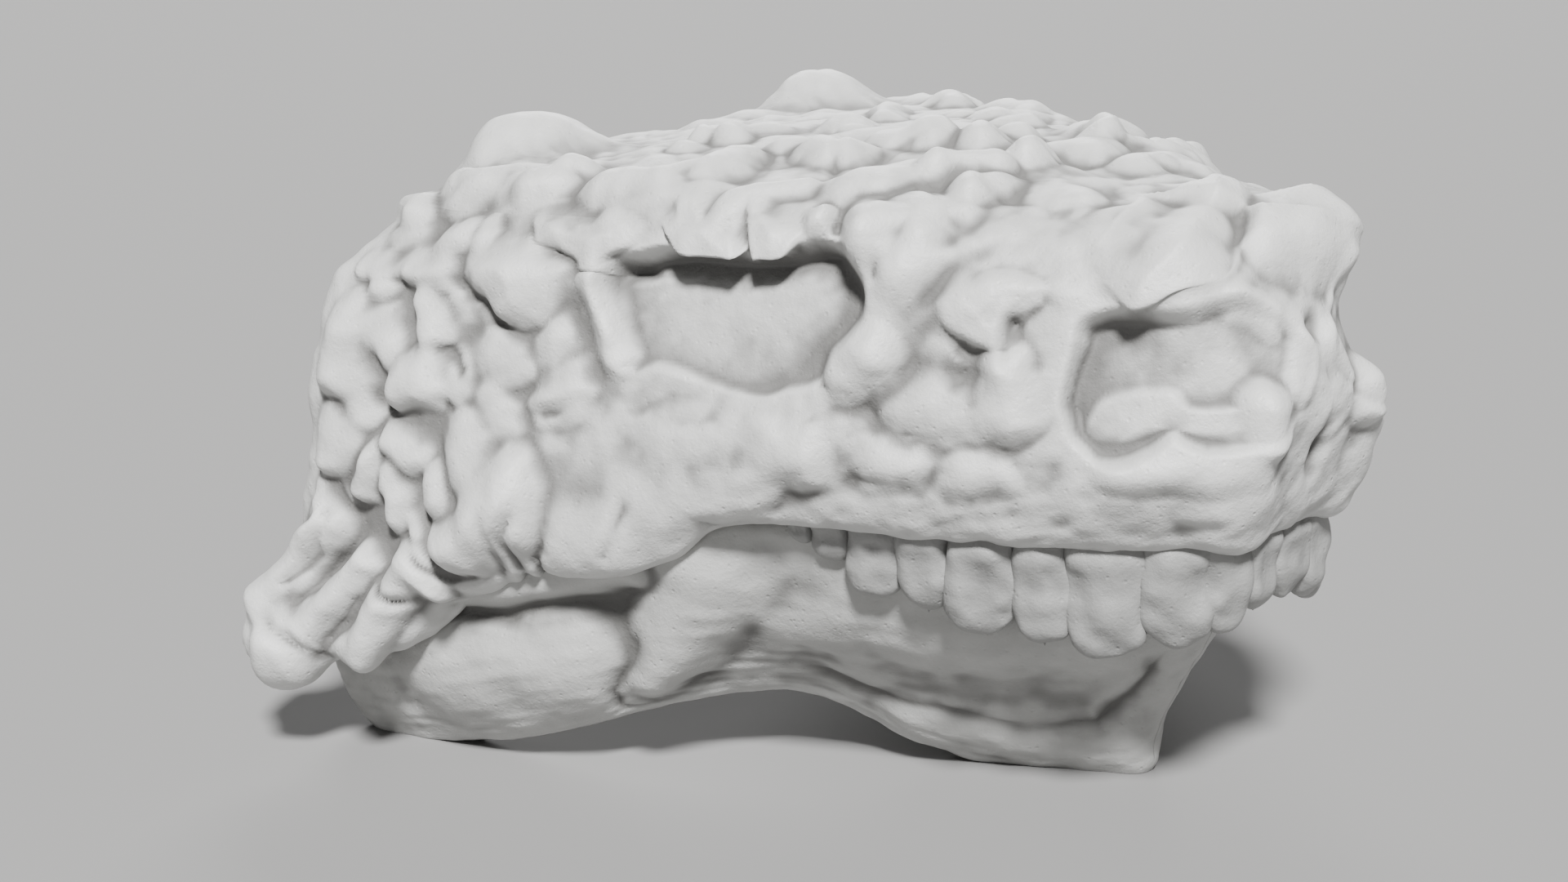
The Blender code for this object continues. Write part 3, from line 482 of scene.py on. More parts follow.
pixels_per_slope = photo_height / 2 / np.tan(half_view)


def in_picture(points):
    """Where points show in the photograph, in its pixels, and how far off they are: what they
    lie to the right and below, over the distance, times the pixels of a slope of one."""
    offset = points - camera_point
    away = -offset @ backwards
    x = photo_width / 2 + pixels_per_slope * (offset @ to_right) / away
    y = photo_height / 2 - pixels_per_slope * (offset @ to_top) / away
    return x, y, away


def cheek_share(down, around):
    """1 on the cheeks and 0 elsewhere. Bosses there lean down and back."""
    cheek_start, cheek_foot, fading = 4.8, 7.6, 1.6
    behind = np.abs(from_snout(around))
    return smooth_step(behind - cheek_start) * smooth_step((cheek_foot - down) / fading)


def surveyed(surface, first, second, way, low_bosses, leaning):
    """What the camera sees of a surface with its broad bosses: the places, the points and the
    way in which a boss grows there."""
    first, second = np.meshgrid(first, second, indexing="ij")
    bare = surface(first, second)
    normals = facing(surface, first, second) * way
    lift = bosses_on(bare, surface, 1, low_bosses, swelling_roundness)[0] ** (1 / crest_power)
    points = bare + normals * lift[..., None]
    faces_us = ((camera_point - points) * normals).sum(axis=-1) > 0
    growth = normals + leaning(first, second)[..., None] * (-lean_back, 0, -lean_down)
    return tuple(values[faces_us] for values in (first, second, points, growth))


def places_seen(spots, survey, height, sunk=0):
    """The places whose point, raised by a height and let down by another, in millimetres, shows
    nearest to each spot of the photograph. A point far behind another one near it is hidden."""
    near_pixels, behind_it, pixels_per_metre = 12, 0.03, 2000
    first, second, points, growth = survey
    x, y, away = in_picture(points + growth * height * mm - (0, 0, sunk * mm))
    found = []
    for spot_x, spot_y in np.reshape(spots, (-1, 2)):
        off = np.hypot(x - spot_x, y - spot_y)
        near = off < max(near_pixels, off.min() + 2)
        hidden = np.maximum(away - away[near].min() - behind_it, 0)
        best = np.argmin(off + hidden * pixels_per_metre)
        found.append((second[best], first[best]))
    return found


def bosses_seen(table, survey):
    """A table of bosses with each spot of the photograph turned into a place."""
    return {
        name: (*np.ravel(places_seen(row[:4], survey, row[6])), *row[4:])
        for name, row in table.items()
    }


def lines_seen(table, survey):
    """A table of folds or openings with each spot turned into a place."""
    return {name: (places_seen(spots, survey, 0), *rest) for name, (spots, *rest) in table.items()}


def plates_placed(table, survey):
    """A table of plates with each spot of an outline turned into a place, half way up the edge."""
    return {
        name: (places_seen(spots, survey, height / 2, droop * 0.8), height, edge, droop)
        for name, (spots, height, edge, droop) in table.items()
    }


def bosses_on(points, surface, side, bosses, roundness):
    """Heights and overhangs of a table of bosses at each point. Where bosses meet, the higher
    rules and a crease is left. The left side's bosses differ a little in height."""
    draw = np.random.default_rng(7)
    lift, hang = np.zeros((2, *points.shape[:-1]))
    for first, row, last, last_row, width, last_width, height, droop in bosses.values():
        scale = 1 if side > 0 else draw.uniform(0.88, 1.12)
        start = surface(np.array(row), np.array(side * first))
        end = surface(np.array(last_row), np.array(side * last))
        ridge = stroke(points, start, end, width * mm, last_width * mm, roundness)
        lift += (height * mm * scale * ridge) ** crest_power
        hang = np.maximum(hang, droop * mm * ridge)
    return lift, hang


def folds_in(points, surface, side, folds):
    """How deep each point lies in the folds: steep at the fold's line, gentle beside it and
    shallower towards the ends of a line of more than two places."""
    depth = np.zeros(points.shape[:-1])
    for line, width, height in folds.values():
        bends = [surface(np.array(row), np.array(side * place)) for place, row in line]
        nearest = np.full(points.shape[:-1], 9.0)
        for start, end in zip(bends, bends[1:]):
            nearest = np.minimum(nearest, off_line(points, start, end)[1])
        share = np.clip(1 - nearest / (width * mm), 0, 1)
        if len(bends) > 2:
            ends = [np.linalg.norm(points - bend, axis=-1) for bend in (bends[0], bends[-1])]
            share = share * np.clip(np.minimum(*ends) / (width * 2 * mm) + 0.15, 0, 1)
        depth = np.maximum(depth, height * mm * share ** 2 * (1.4 - 0.4 * share))
    return depth


def plates_on(around, down, side, plates, ragged):
    """Heights and overhangs of the plates: a steep, ragged edge and a slightly domed top."""
    dome_width = 22
    lift, hang = np.zeros((2, *down.shape))
    for outline, height, edge, droop in plates.values():
        distance = inside_outline(around, down, outline, side) + ragged
        rise = smooth_step(0.5 + distance / edge)
        dome = 0.5 * rise + 0.5 * smooth_step(distance / dome_width)
        lift += (height * mm * dome) ** crest_power
        hang = np.maximum(hang, droop * mm * rise)
    return lift, hang


def sunk_openings(around, down, side, sunk, ragged):
    """Depth of the openings' filling, mixed from the depths at the outline's four corners, and
    how far each point belongs to a filling."""
    depth, filled = np.zeros((2, *down.shape))
    for outline, corners, edge in sunk.values():
        distance = inside_outline(around, down, outline, side) + ragged * 0.5
        share = smooth_step(0.8 + distance / edge)
        (front, top), (behind, bottom) = np.min(outline, axis=0), np.max(outline, axis=0)
        backwards = np.clip((from_snout(side * around) - front) / (behind - front), 0, 1)
        lower = np.clip((down - top) / (bottom - top), 0, 1)
        upper_depth = corners[0] * backwards + corners[1] * (1 - backwards)
        lower_depth = corners[2] * backwards + corners[3] * (1 - backwards)
        depth += share * mm * (upper_depth * (1 - lower) + lower_depth * lower)
        filled = np.maximum(filled, share)
    return depth, filled


survey_step = 0.025
places_down = np.arange(0.1, 8, survey_step)
places_round = np.arange(-columns / 2, columns / 2, survey_step)
bare_survey = surveyed(skull_surface, places_down, places_round, 1, swellings_placed, cheek_share)
swellings = {**swellings_placed, **bosses_seen(swellings_seen, bare_survey)}
survey = surveyed(skull_surface, places_down, places_round, 1, swellings, cheek_share)
knobs = {**knobs_placed, **bosses_seen(knobs_seen, survey)}
roof_knobs = bosses_seen(roof_knobs_seen, survey)
# The left half of the roof has lower copies of the knobs that are well to the right
far_knobs = {name: knob for name, knob in roof_knobs.items() if knob[0] > 1 and knob[1] > 1.2}
folds = {**folds_placed, **lines_seen(folds_seen, survey)}
plates = plates_placed(plates_seen, survey)
openings = lines_seen(openings_seen, survey)


def even_places(surface, row, last, spacing):
    """Places round the skull from 0 to last, this far apart on the surface at one row."""
    fine = np.linspace(0, last, 2000)
    line = surface(np.full(fine.shape, row), fine)
    gone = np.append(0, np.cumsum(np.linalg.norm(np.diff(line, axis=0), axis=-1)))
    count = int(gone[-1] / spacing)
    return np.interp(np.arange(count) / count * gone[-1], gone, fine)


def wandering(points, *layers):
    """Uneven steps in all three directions, by which a pattern strays from its regular places."""
    steps = [uneven(points, *((*layer[:2], layer[2] + k) for layer in layers)) for k in range(3)]
    return np.stack(steps, axis=-1)


def skull_points(spacing):
    """The whole skull as a grid of points this far apart, from the crown to the palate."""
    half = even_places(skull_surface, 5.0, columns / 2, spacing)
    round_it = np.concatenate([half, columns - np.append(half, columns / 2)[:0:-1]])
    row_lengths = (60, 62, 48, 40, 42, 58, 58, 30, 14, 26, 26)
    counts = [max(int(length * mm / spacing), 1) for length in row_lengths]
    rows = [number + np.arange(count) / count for number, count in enumerate(counts)]
    down, around = np.meshgrid(np.concatenate(rows)[1:], round_it, indexing="ij")
    base = skull_surface(down, around)
    outwards = facing(skull_surface, down, around)
    near_crown = smooth_step(1.3 - down)[..., None]
    outwards = unit(outwards * (1 - near_crown) + near_crown * (0, 0, 1))
    wander = wandering(base, (0.0030, 0.018, 20), (0.0006, 0.007, 24))
    felt = base + wander
    ragged = uneven(base, (1.6, 0.010, 28))
    lift, hang, socket, slump = np.zeros((4, *down.shape))
    for side in (1, -1):
        broad, broad_hang = bosses_on(felt, skull_surface, side, swellings, swelling_roundness)
        high, high_hang = bosses_on(felt, skull_surface, side, knobs, knob_roundness)
        flat, flat_hang = plates_on(around, down, side, plates, ragged)
        if side > 0:
            high += bosses_on(felt, skull_surface, side, roof_knobs, roof_knob_roundness)[0]
        else:
            high += far_share * bosses_on(felt, skull_surface, side, far_knobs, roof_knob_roundness)[0]
        depth, filled = sunk_openings(around, down, side, openings, ragged)
        raised = (high + flat) ** (1 / crest_power)
        slump = np.maximum(slump, raised)
        lift += broad ** (1 / crest_power) + raised
        lift -= folds_in(felt, skull_surface, side, folds) + depth
        hang = np.maximum(hang, np.maximum(broad_hang, np.maximum(high_hang, flat_hang)))
        socket = np.maximum(socket, filled)
    roof_end = 3.4
    on_roof = smooth_step(roof_end - down)
    on_cheek = cheek_share(down, around)
    rough = np.maximum(on_roof, 0.4 * on_cheek)
    pebble_size, pebble_height, pebble_foot = 0.026, 0.0022, 0.6
    lift += rough * pebble_height * (pebbles(felt, pebble_size, 3) - pebble_foot)
    lift += 0.0016 * np.maximum(on_roof, on_cheek) * even_noise(base, 0.021, 5)
    calm = 1 - 0.6 * socket
    lift += calm * uneven(base, (0.0011, 0.013, 1), (0.0005, 0.007, 2))
    slant = (around * 0.016 + down * 0.010, down * 0.034 - around * 0.030, 0 * down)
    slanted = np.stack(slant, axis=-1)
    below_roof = smooth_step(down - 2.4)
    lift += 0.0005 * below_roof * (calm + 0.5 * on_cheek) * even_noise(slanted + wander, 0.007, 6)
    lift += uneven(base, (0.00014, 0.0040, 4))
    points = base + outwards * lift[..., None]
    points[..., 0] -= lean_back * on_cheek * slump
    points[..., 2] -= hang + lean_down * on_cheek * slump
    return points


def grid_normals(points):
    """Normals of a grid that is closed round its columns, from the neighbours on both sides."""
    along = np.roll(points, -1, axis=1) - np.roll(points, 1, axis=1)
    across = np.gradient(points, axis=0)
    return unit(np.cross(along, across))


def hollowness(points, normals):
    """How hollow the surface is at each point, from -1 on crests to 1 in creases: the bend
    towards the neighbours, over their distance, both ways and at six reaches."""
    reaches, gain = (1, 2, 4, 7, 11, 16), 0.72
    total = np.zeros(points.shape[:-1])
    for reach in reaches:
        for axis in (0, 1):
            if axis:
                ahead, behind = np.roll(points, -reach, 1), np.roll(points, reach, 1)
            else:
                padded = np.pad(points, ((reach, reach), (0, 0), (0, 0)), mode="edge")
                ahead, behind = padded[2 * reach:], padded[:-2 * reach]
            bend = ((ahead + behind - 2 * points) * normals).sum(axis=-1)
            width = np.linalg.norm(ahead - behind, axis=-1) + 1e-6
            total += bend / width
    return np.tanh(total * gain)


def in_scene(name, data):
    """An object over a mesh, a lamp or a camera, placed in the scene."""
    made = bpy.data.objects.new(name, data)
    bpy.context.scene.collection.objects.link(made)
    return made


def mesh_of(name, vertices, faces):
    """A mesh from arrays of points and of triangles."""
    mesh = bpy.data.meshes.new(name)
    mesh.vertices.add(len(vertices))
    mesh.vertices.foreach_set("co", np.asarray(vertices, np.float32).ravel())
    mesh.loops.add(faces.size)
    mesh.loops.foreach_set("vertex_index", faces.astype(np.int32).ravel())
    mesh.polygons.add(len(faces))
    mesh.polygons.foreach_set("loop_start", np.arange(0, faces.size, 3, dtype=np.int32))
    mesh.update(calc_edges=True)
    return mesh


def read_all(items, field, width=1, kind=np.float32):
    """One field of every item as an array with a row for each."""
    values = np.zeros(len(items) * width, kind)
    items.foreach_get(field, values)
    return values.reshape(-1, width) if width > 1 else values


def write_attribute(mesh, name, kind, values):
    """One value per point, kept in the mesh under a name."""
    field = "vector" if kind == "FLOAT_VECTOR" else "value"
    made = mesh.attributes.new(name, kind, "POINT")
    made.data.foreach_set(field, np.asarray(values, np.float32).ravel())


def closed_part(grid, first_end, last_end):
    """A grid closed round its columns, with a fan at each end: its points, its triangles, its
    normals, all facing out, and how hollow it is at each point."""
    rows, round_count, _ = grid.shape
    index = np.arange(rows * round_count).reshape(rows, round_count)
    beside = np.roll(index, -1, axis=1)
    corners = np.stack([index[:-1], index[1:], beside[1:], beside[:-1]], axis=-1).reshape(-1, 4)
    top = np.stack([np.full(round_count, rows * round_count), index[0], beside[0]], axis=-1)
    bottom = np.stack([np.full(round_count, rows * round_count + 1), beside[-1], index[-1]], axis=-1)
    faces = np.concatenate([corners[:, (0, 1, 2)], corners[:, (0, 2, 3)], top, bottom])
    vertices = np.concatenate([grid.reshape(-1, 3), [first_end], [last_end]])
    a, b, c = (vertices[faces[:, k]] for k in range(3))
    way = np.sign((a * np.cross(b, c)).sum())
    normals = grid_normals(grid) * -way
    ends = unit(np.array((first_end - last_end, last_end - first_end)))
    hollow = np.append(hollowness(grid, normals).ravel(), (0, 0))
    return vertices, faces[:, ::int(way)], np.concatenate([normals.reshape(-1, 3), ends]), hollow


def whole_object(name, part):
    """An object over a closed part, with its normals and its hollowness kept at its points."""
    vertices, faces, normals, hollow = part
    mesh = mesh_of(name, vertices, faces)
    write_attribute(mesh, "hollow", "FLOAT", hollow)
    write_attribute(mesh, "bone_normal", "FLOAT_VECTOR", normals)
    return in_scene(name, mesh)


point_spacing = 0.0015
skull_grid = skull_points(point_spacing)
crown_point = skull_surface(np.array(0.0), np.array(0.0))
palate_point = skull_surface(np.array(11.0), np.array(0.0))
skull = whole_object("whole_skull", closed_part(skull_grid, crown_point, palate_point))

# The snout: the nasal bones with their two bosses, the nostrils and the bone before the eyes,
# one solid fossil that meets the roof, the eye sockets and the upper jaw. The pieces meet at
# the levels and lengths given here, and far is past every end.
jaw_line = 0.150
roof_line = 0.242
eye_back = -0.062
far = 0.6
pale_grey = (0.43, 0.43, 0.42)


def box_object(low, high):
    """A closed box between two corners, used only to cut."""
    corners = np.array([np.where(bits, high, low) for bits in np.ndindex(2, 2, 2)])
    faces = np.array((
        (0, 1, 3), (0, 3, 2), (4, 6, 7), (4, 7, 5), (0, 4, 5), (0, 5, 1),
        (2, 3, 7), (2, 7, 6), (0, 2, 6), (0, 6, 4), (1, 5, 7), (1, 7, 3),
    ))
    return in_scene("box", mesh_of("box", corners, faces))


def smooth_outside(mesh, low, high):
    """Shades the outside with the whole skull's normals, so that no seam shows where two
    pieces meet, and keeps the cut faces flat. A point made by a cut takes what the three
    nearest points of the skull have, the nearer the more."""
    points, normals = (
        read_all(mesh.attributes[name].data, "vector", 3).astype(float)
        for name in ("position", "bone_normal")
    )
    hollow = read_all(mesh.attributes["hollow"].data, "value").astype(float)[:, None]
    made = np.linalg.norm(normals, axis=1) < 0.5
    wall_reach = 0.004
    near_walls = (np.abs(points - low) < wall_reach) | (np.abs(points - high) < wall_reach)
    near = ~made & near_walls.any(axis=1)
    if made.any():
        away = np.linalg.norm(points[made][:, None] - points[near][None], axis=-1)
        nearest = np.argsort(away, axis=1)[:, :3]
        share = 1 / (np.take_along_axis(away, nearest, 1) + 1e-6)
        share /= share.sum(axis=1, keepdims=True)
        normals[made] = (normals[near][nearest] * share[..., None]).sum(axis=1)
        hollow[made] = (hollow[near][nearest] * share[..., None]).sum(axis=1)
    normals = unit(normals)
    mesh.attributes.remove(mesh.attributes["bone_normal"])
    mesh.attributes["hollow"].data.foreach_set("value", hollow.astype(np.float32).ravel())
    corners = read_all(mesh.loops, "vertex_index", kind=np.int32)
    sizes = read_all(mesh.polygons, "loop_total", kind=np.int32)
    face_normals = np.repeat(read_all(mesh.polygons, "normal", 3), sizes, axis=0)
    corner_normals = normals[corners]
    on_cut = np.zeros(len(corners), bool)
    for wall in (low, high):
        for axis in range(3):
            level = np.abs(points[corners, axis] - wall[axis]) < 1e-6
            on_cut |= level & (np.abs(face_normals[:, axis]) > 0.999)
    corner_normals[on_cut] = face_normals[on_cut]
    mesh.polygons.foreach_set("use_smooth", np.ones(len(mesh.polygons), bool))
    mesh.normals_split_custom_set(corner_normals)


def cut_out(name, whole, low, high):
    """One piece of the skull: what of it lies in a box, given by metres before the centring."""
    low = np.array(low, float) + centring
    high = np.array(high, float) + centring
    box = box_object(low, high)
    cut = whole.modifiers.new("cut", "BOOLEAN")
    cut.operation = "INTERSECT"
    cut.solver = "MANIFOLD"
    cut.object = box
    graph = bpy.context.evaluated_depsgraph_get()
    mesh = bpy.data.meshes.new_from_object(whole.evaluated_get(graph))
    whole.modifiers.clear()
    bpy.data.objects.remove(box)
    mesh.name = name
    mesh.materials.clear()
    smooth_outside(mesh, low, high)
    return in_scene(name, mesh)


class Shade:
    """A socket of a node. The usual operators, set below, add a Math node."""

    def __init__(self, bench, socket):
        self.bench = bench
        self.socket = socket

    def math(self, operation, first, second):
        return self.bench.node("ShaderNodeMath", {"operation": operation}, {0: first, 1: second})


for name, operation in (
    ("__add__", "ADD"), ("__radd__", "ADD"), ("__sub__", "SUBTRACT"), ("__mul__", "MULTIPLY"),
    ("__rmul__", "MULTIPLY"), ("atleast", "MAXIMUM"), ("atmost", "MINIMUM"),
):
    setattr(Shade, name, lambda self, other, kind=operation: self.math(kind, self, other))
Shade.__rsub__ = lambda self, other: self.math("SUBTRACT", other, self)


class Bench:
    """A material that is being mixed."""

    def __init__(self, name):
        self.material = bpy.data.materials.new(name)
        self.material.use_nodes = True
        self.tree = self.material.node_tree
        self.tree.nodes.clear()

    def node(self, kind, settings, sockets, output=0):
        """Adds a node with its settings and the values or links of its sockets."""
        made = self.tree.nodes.new(kind)
        for name, value in settings.items():
            setattr(made, name, value)
        for key, value in sockets.items():
            if isinstance(value, Shade):
                self.tree.links.new(value.socket, made.inputs[key])
            else:
                made.inputs[key].default_value = value
        return Shade(self, made.outputs[output]) if made.outputs else None

    def mixed(self, share, first, second):
        """A colour between two colours."""
        sockets = {0: share, 6: first, 7: second}
        return self.node("ShaderNodeMix", {"data_type": "RGBA"}, sockets, 2)


def bone_finish(name, tint, seed):
    """Pale grey fossil bone with the dull skin of a cast: clouds of lighter and darker grey,
    painted shade in the hollows, painted highlights on the crests, fine grain and a few pits."""
    bench = Bench(name)
    place = bench.node("ShaderNodeTexCoord", {}, {}, "Object")
    shift = bench.node("ShaderNodeMapping", {}, {"Vector": place, "Location": (seed * 0.7, seed, 0)})

    def clouds(scale, detail, roughness):
        sockets = {"Vector": shift, "Scale": scale, "Detail": detail, "Roughness": roughness}
        return bench.node("ShaderNodeTexNoise", {}, sockets, "Fac")

    hollow = bench.node("ShaderNodeAttribute", {"attribute_name": "hollow"}, {}, "Fac")
    crease = hollow.atleast(0)
    crest = (hollow * -1).atleast(0)
    wide = clouds(26, 4, 0.55)
    middle = clouds(95, 5, 0.6)
    grain = clouds(620, 3, 0.6)
    brushed = clouds(250, 5, 0.7)
    # The first two shades are random clouds of tone; the third is painted shade for the creases and the
    # fourth a painted highlight for the crests
    shades = ((1.10, 1.10, 1.10), (0.86, 0.86, 0.86), (0.24, 0.235, 0.23), (1.40, 1.40, 1.40))
    light, dark, painted_crease_shade, painted_crest_highlight = ((*np.multiply(tint, shade), 1) for shade in shades)
    cloudy = wide * 0.5 + middle * 0.4 + brushed * 0.9 - 0.4
    colour = bench.mixed(cloudy.atleast(0).atmost(1), dark, light)
    # Painted shade: the creases are darkened towards a dark grey, the deeper the darker
    colour = bench.mixed((crease * 1.1).atmost(0.92), colour, painted_crease_shade)
    # Painted highlight: the crests are lightened, more where the middle clouds are light
    colour = bench.mixed((crest * (0.4 + middle * 0.6)).atmost(0.7), colour, painted_crest_highlight)
    pits = bench.node("ShaderNodeTexVoronoi", {}, {"Vector": shift, "Scale": 210.0}, "Distance")
    pit = (1 - pits * 5).atleast(0)
    height = grain * 0.25 + brushed * 0.6 + middle * 0.5 - pit * 0.35
    relief = {"Strength": 0.55, "Distance": 0.0014, "Height": height}
    bump = bench.node("ShaderNodeBump", {}, relief, "Normal")
    roughness = 0.44 + middle * 0.16 + crease * 0.2 - crest * 0.06
    shader = bench.node("ShaderNodeBsdfPrincipled", {}, {
        "Base Color": colour, "Roughness": roughness, "Normal": bump, "Specular IOR Level": 0.5,
    })
    bench.node("ShaderNodeOutputMaterial", {}, {"Surface": shader})
    return bench.material


def finished(piece, finish, node):
    """Gives a piece its finish as its material and its body, and hides the part of the solids that it
    stands for.
    """
    piece.data.materials.append(finish)
    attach(piece, "root")
    if node:
        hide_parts(node)


snout = cut_out("snout_bones", skull, (snout_back, -far, jaw_line), (far, far, far))
finished(snout, bone_finish("snout_bone", pale_grey, 1), "snout")

# The skull roof: flat knobbly bone from the horns at the back to the frontal bosses, grown
# together with the bones round it.
roof = cut_out("roof_bones", skull, (-far, -far, roof_line), (snout_back, far, far))
finished(roof, bone_finish("roof_bone", pale_grey, 2), "skull_roof")

# The eye sockets: one block on each side, with the brow above and the cheek bar behind. The
# sockets are filled with rock, nearly flush.
for name, low_y, high_y in (("right", -far, 0), ("left", 0, far)):
    low, high = (eye_back, low_y, jaw_line), (snout_back, high_y, roof_line)
    orbit = cut_out("eye_socket_" + name, skull, low, high)
    finished(orbit, bone_finish("eye_socket_bone_" + name, pale_grey, 3), "orbit_" + name)

# The cheeks: broad flanges of bone covered in knobs, which hang down past the lower jaw. They
# are grown together with the eye sockets, the roof and the back of the skull.
for name, low_y, high_y in (("right", -far, -core_half_width), ("left", core_half_width, far)):
    cheek = cut_out("cheek_bones_" + name, skull, (-far, low_y, -far), (eye_back, high_y, roof_line))
    finished(cheek, bone_finish("cheek_bone_" + name, pale_grey, 4), "cheek_" + name)

# The back of the skull: the braincase with the round joint for the neck under the opening
# of the spinal cord, which is filled with rock.
low, high = (-far, -core_half_width, -far), (eye_back, core_half_width, roof_line)
back = cut_out("occiput_bones", skull, low, high)
finished(back, bone_finish("occiput_bone", pale_grey, 5), "occiput")

# The upper jaw: the bone rim that holds the teeth, with the hollow palate inside it. It is the
# last piece that is cut from the whole skull.
upper = cut_out("upper_jaw_bones", skull, (eye_back, -far, -far), (far, far, jaw_line))
finished(upper, bone_finish("upper_jaw_bone", pale_grey, 6), "upper_jaw")
bpy.data.objects.remove(skull)

# The upper teeth: a row of broad leaf-shaped pegs on each side, pressed against each other
# and sunk in the rim of the upper jaw. Each has its place round the rim, its half width and
# the length of its crown.
teeth = (
    (0.25, 10.5, 34), (0.76, 11.5, 38), (1.265, 13, 44), (1.755, 15, 48), (2.19, 11.5, 45),
    (2.605, 14, 43), (2.995, 10.5, 36), (3.32, 12, 31), (3.60, 8.5, 19), (3.77, 5, 12),
)
tooth_half_depth = 7.5
tooth_root = 16
tooth_inset = 9.5
inset_growth = 1.5
# The teeth and the rock wall behind them are painted much darker than the bone: painted shade for the
# shadow under the lip
tooth_grey_painted_shade = (0.20, 0.20, 0.195)


def boxed(wave, power):
    """A sine or cosine drawn out to its ends, so that a circle becomes a rounded oblong."""
    return np.sign(wave) * np.abs(wave) ** power


def closing(lower, power):
    """How wide a crown still is: 1 at the rim, 0 at its tip, and between them the square root
    of 1 less the way down to this power."""
    return np.clip(1 - lower ** power, 0, 1) ** 0.5


def bell(value, middle, width):
    """A bell curve: e to the power of less the distance from its middle over its width, squared."""
    return np.exp(-((value - middle) / width) ** 2)


def tooth_grid(place, half_width, crown_length, seed):
    """A tooth as rings from the root to the tip. A ring is a rounded oblong that swells to the
    shoulder and closes at the tip, with shallow furrows down the outer face."""
    spot = skull_surface(np.array(rim_row), np.array(place))
    beside = skull_surface(np.array(rim_row), np.array(place + 0.05))
    along = unit((beside - spot) * (1, 1, 0))
    outwards = np.array((along[1], -along[0], 0)) * np.sign(place)
    outwards *= np.sign(outwards @ (spot - in_frame(crown)))
    centre = spot - outwards * (tooth_inset + inset_growth * abs(place)) * mm
    share, turn = np.meshgrid(np.linspace(0, 1, 44)[:-1], np.arange(56) / 56 * 2 * np.pi, indexing="ij")
    height = tooth_root - (tooth_root + crown_length) * np.sin(share * np.pi / 2) ** 0.9
    lower = np.clip(-height / crown_length, 0, 1)
    swell = np.sin(lower * np.pi)
    width = half_width * (1.02 + 0.10 * swell) * closing(lower, 7)
    neck = 0.22 * bell(lower, 0.16, 0.13) - 0.10 * bell(lower, 0.42, 0.16)
    depth = tooth_half_depth * (0.98 + 0.20 * swell + neck) * closing(lower, 5)
    oblong = 0.75
    across = boxed(np.cos(turn), oblong) * width
    forward = boxed(np.sin(turn), oblong) * depth
    furrow_depth, furrow_turns = 0.35, 1.9
    furrows = np.cos(across / half_width * furrow_turns * np.pi + seed) * furrow_depth
    furrows = furrows * (np.sin(turn) > 0) * swell
    points = centre + mm * (
        across[..., None] * along
        + (forward - furrows)[..., None] * outwards
        + height[..., None] * np.array((0, 0, 1))
    )
    bumps = uneven(points, (0.0022, 0.013, 40 + seed), (0.0008, 0.006, 60 + seed))
    normal = grid_normals(points)
    middle = points.mean(axis=1, keepdims=True)
    normal *= np.sign((normal * (points - middle)).sum(axis=-1, keepdims=True))
    points = points + normal * bumps[..., None]
    tip = centre - np.array((0, 0, crown_length * mm))
    return points, points[0].mean(axis=0), tip


def rock_between(side):
    """The rock that holds the teeth, as a wall behind them: rings along the rim, each a rounded
    oblong from above the rim to the mean length of the crowns, a little shorter."""
    where = np.linspace(0.04, 3.9, 90)
    spot = skull_surface(np.full(where.shape, rim_row), side * where)
    outwards = unit((spot - in_frame(crown)) * (1, 1, 0))
    lengths = np.interp(where, [tooth[0] for tooth in teeth], [tooth[2] for tooth in teeth]) * 0.66
    lengths *= np.clip((4.0 - where) / 0.35, 0.1, 1)
    turn = np.arange(40) / 40 * 2 * np.pi
    across = boxed(np.sin(turn), 0.6) * tooth_half_depth * 0.55
    rise = boxed(np.cos(turn), 0.6)
    middle = (tooth_root - lengths) / 2
    half = (tooth_root + lengths) / 2
    points = spot[:, None] + mm * (
        (across - tooth_inset - 3 - inset_growth * where[:, None])[..., None] * outwards[:, None]
        + (middle[:, None] + half[:, None] * rise)[..., None] * np.array((0, 0, 1))
    )
    points += uneven(points, (0.0016, 0.011, 90))[..., None] * outwards[:, None]
    return points, points[0].mean(axis=0), points[-1].mean(axis=0)


def joined(name, parts):
    """Several closed parts as one object, with the hollowness of each."""
    vertices, faces, hollow, count = [], [], [], 0
    for part_vertices, part_faces, _, part_hollow in parts:
        vertices.append(part_vertices)
        faces.append(part_faces + count)
        hollow.append(part_hollow)
        count += len(part_vertices)
    mesh = mesh_of(name, np.concatenate(vertices), np.concatenate(faces))
    write_attribute(mesh, "hollow", "FLOAT", np.concatenate(hollow))
    mesh.polygons.foreach_set("use_smooth", np.ones(len(mesh.polygons), bool))
    return in_scene(name, mesh)


for name, side in (("right", 1), ("left", -1)):
    grids = [
        tooth_grid(side * place, half_width, crown_length, number + 9 * (side < 0))
        for number, (place, half_width, crown_length) in enumerate(teeth)
    ]
    grids.append(rock_between(side))
    row = joined("upper_teeth_" + name, [closed_part(*grid) for grid in grids])
    # The teeth's finish is the darker grey, as painted shade under the lip
    finished(row, bone_finish("teeth_with_painted_shade_" + name, tooth_grey_painted_shade, 7), None)

# The lower jaw: two halves that meet at the chin, each a deep blade with a knuckle under the
# corner of the mouth and a flat plate behind it, where it rests on the floor.
jaw_places = {
    "chin": ((154, 0, 74), (110, 0, -2), 66, 36),
    "chin_corner": ((142, 25, 74), (93, 11, -2), 62, 24),
    "front": ((112, 54, 78), (60, 31, -2), 48, 16),
    "middle": ((72, 85, 80), (28, 56, 13), 40, 17),
    "hollow": ((24, 109, 86), (-5, 84, 32), 32, 16),
    "angle": ((-25, 134, 89), (-50, 126, 27), 28, 20),
    "plate": ((-80, 158, 80), (-92, 152, 13), 26, 20),
    "plate_back": ((-142, 180, 64), (-146, 169, 0), 28, 22),
    "joint": ((-198, 188, 54), (-190, 176, -2), 30, 24),
}
jaw_top = 118
jaw_bulge = 8
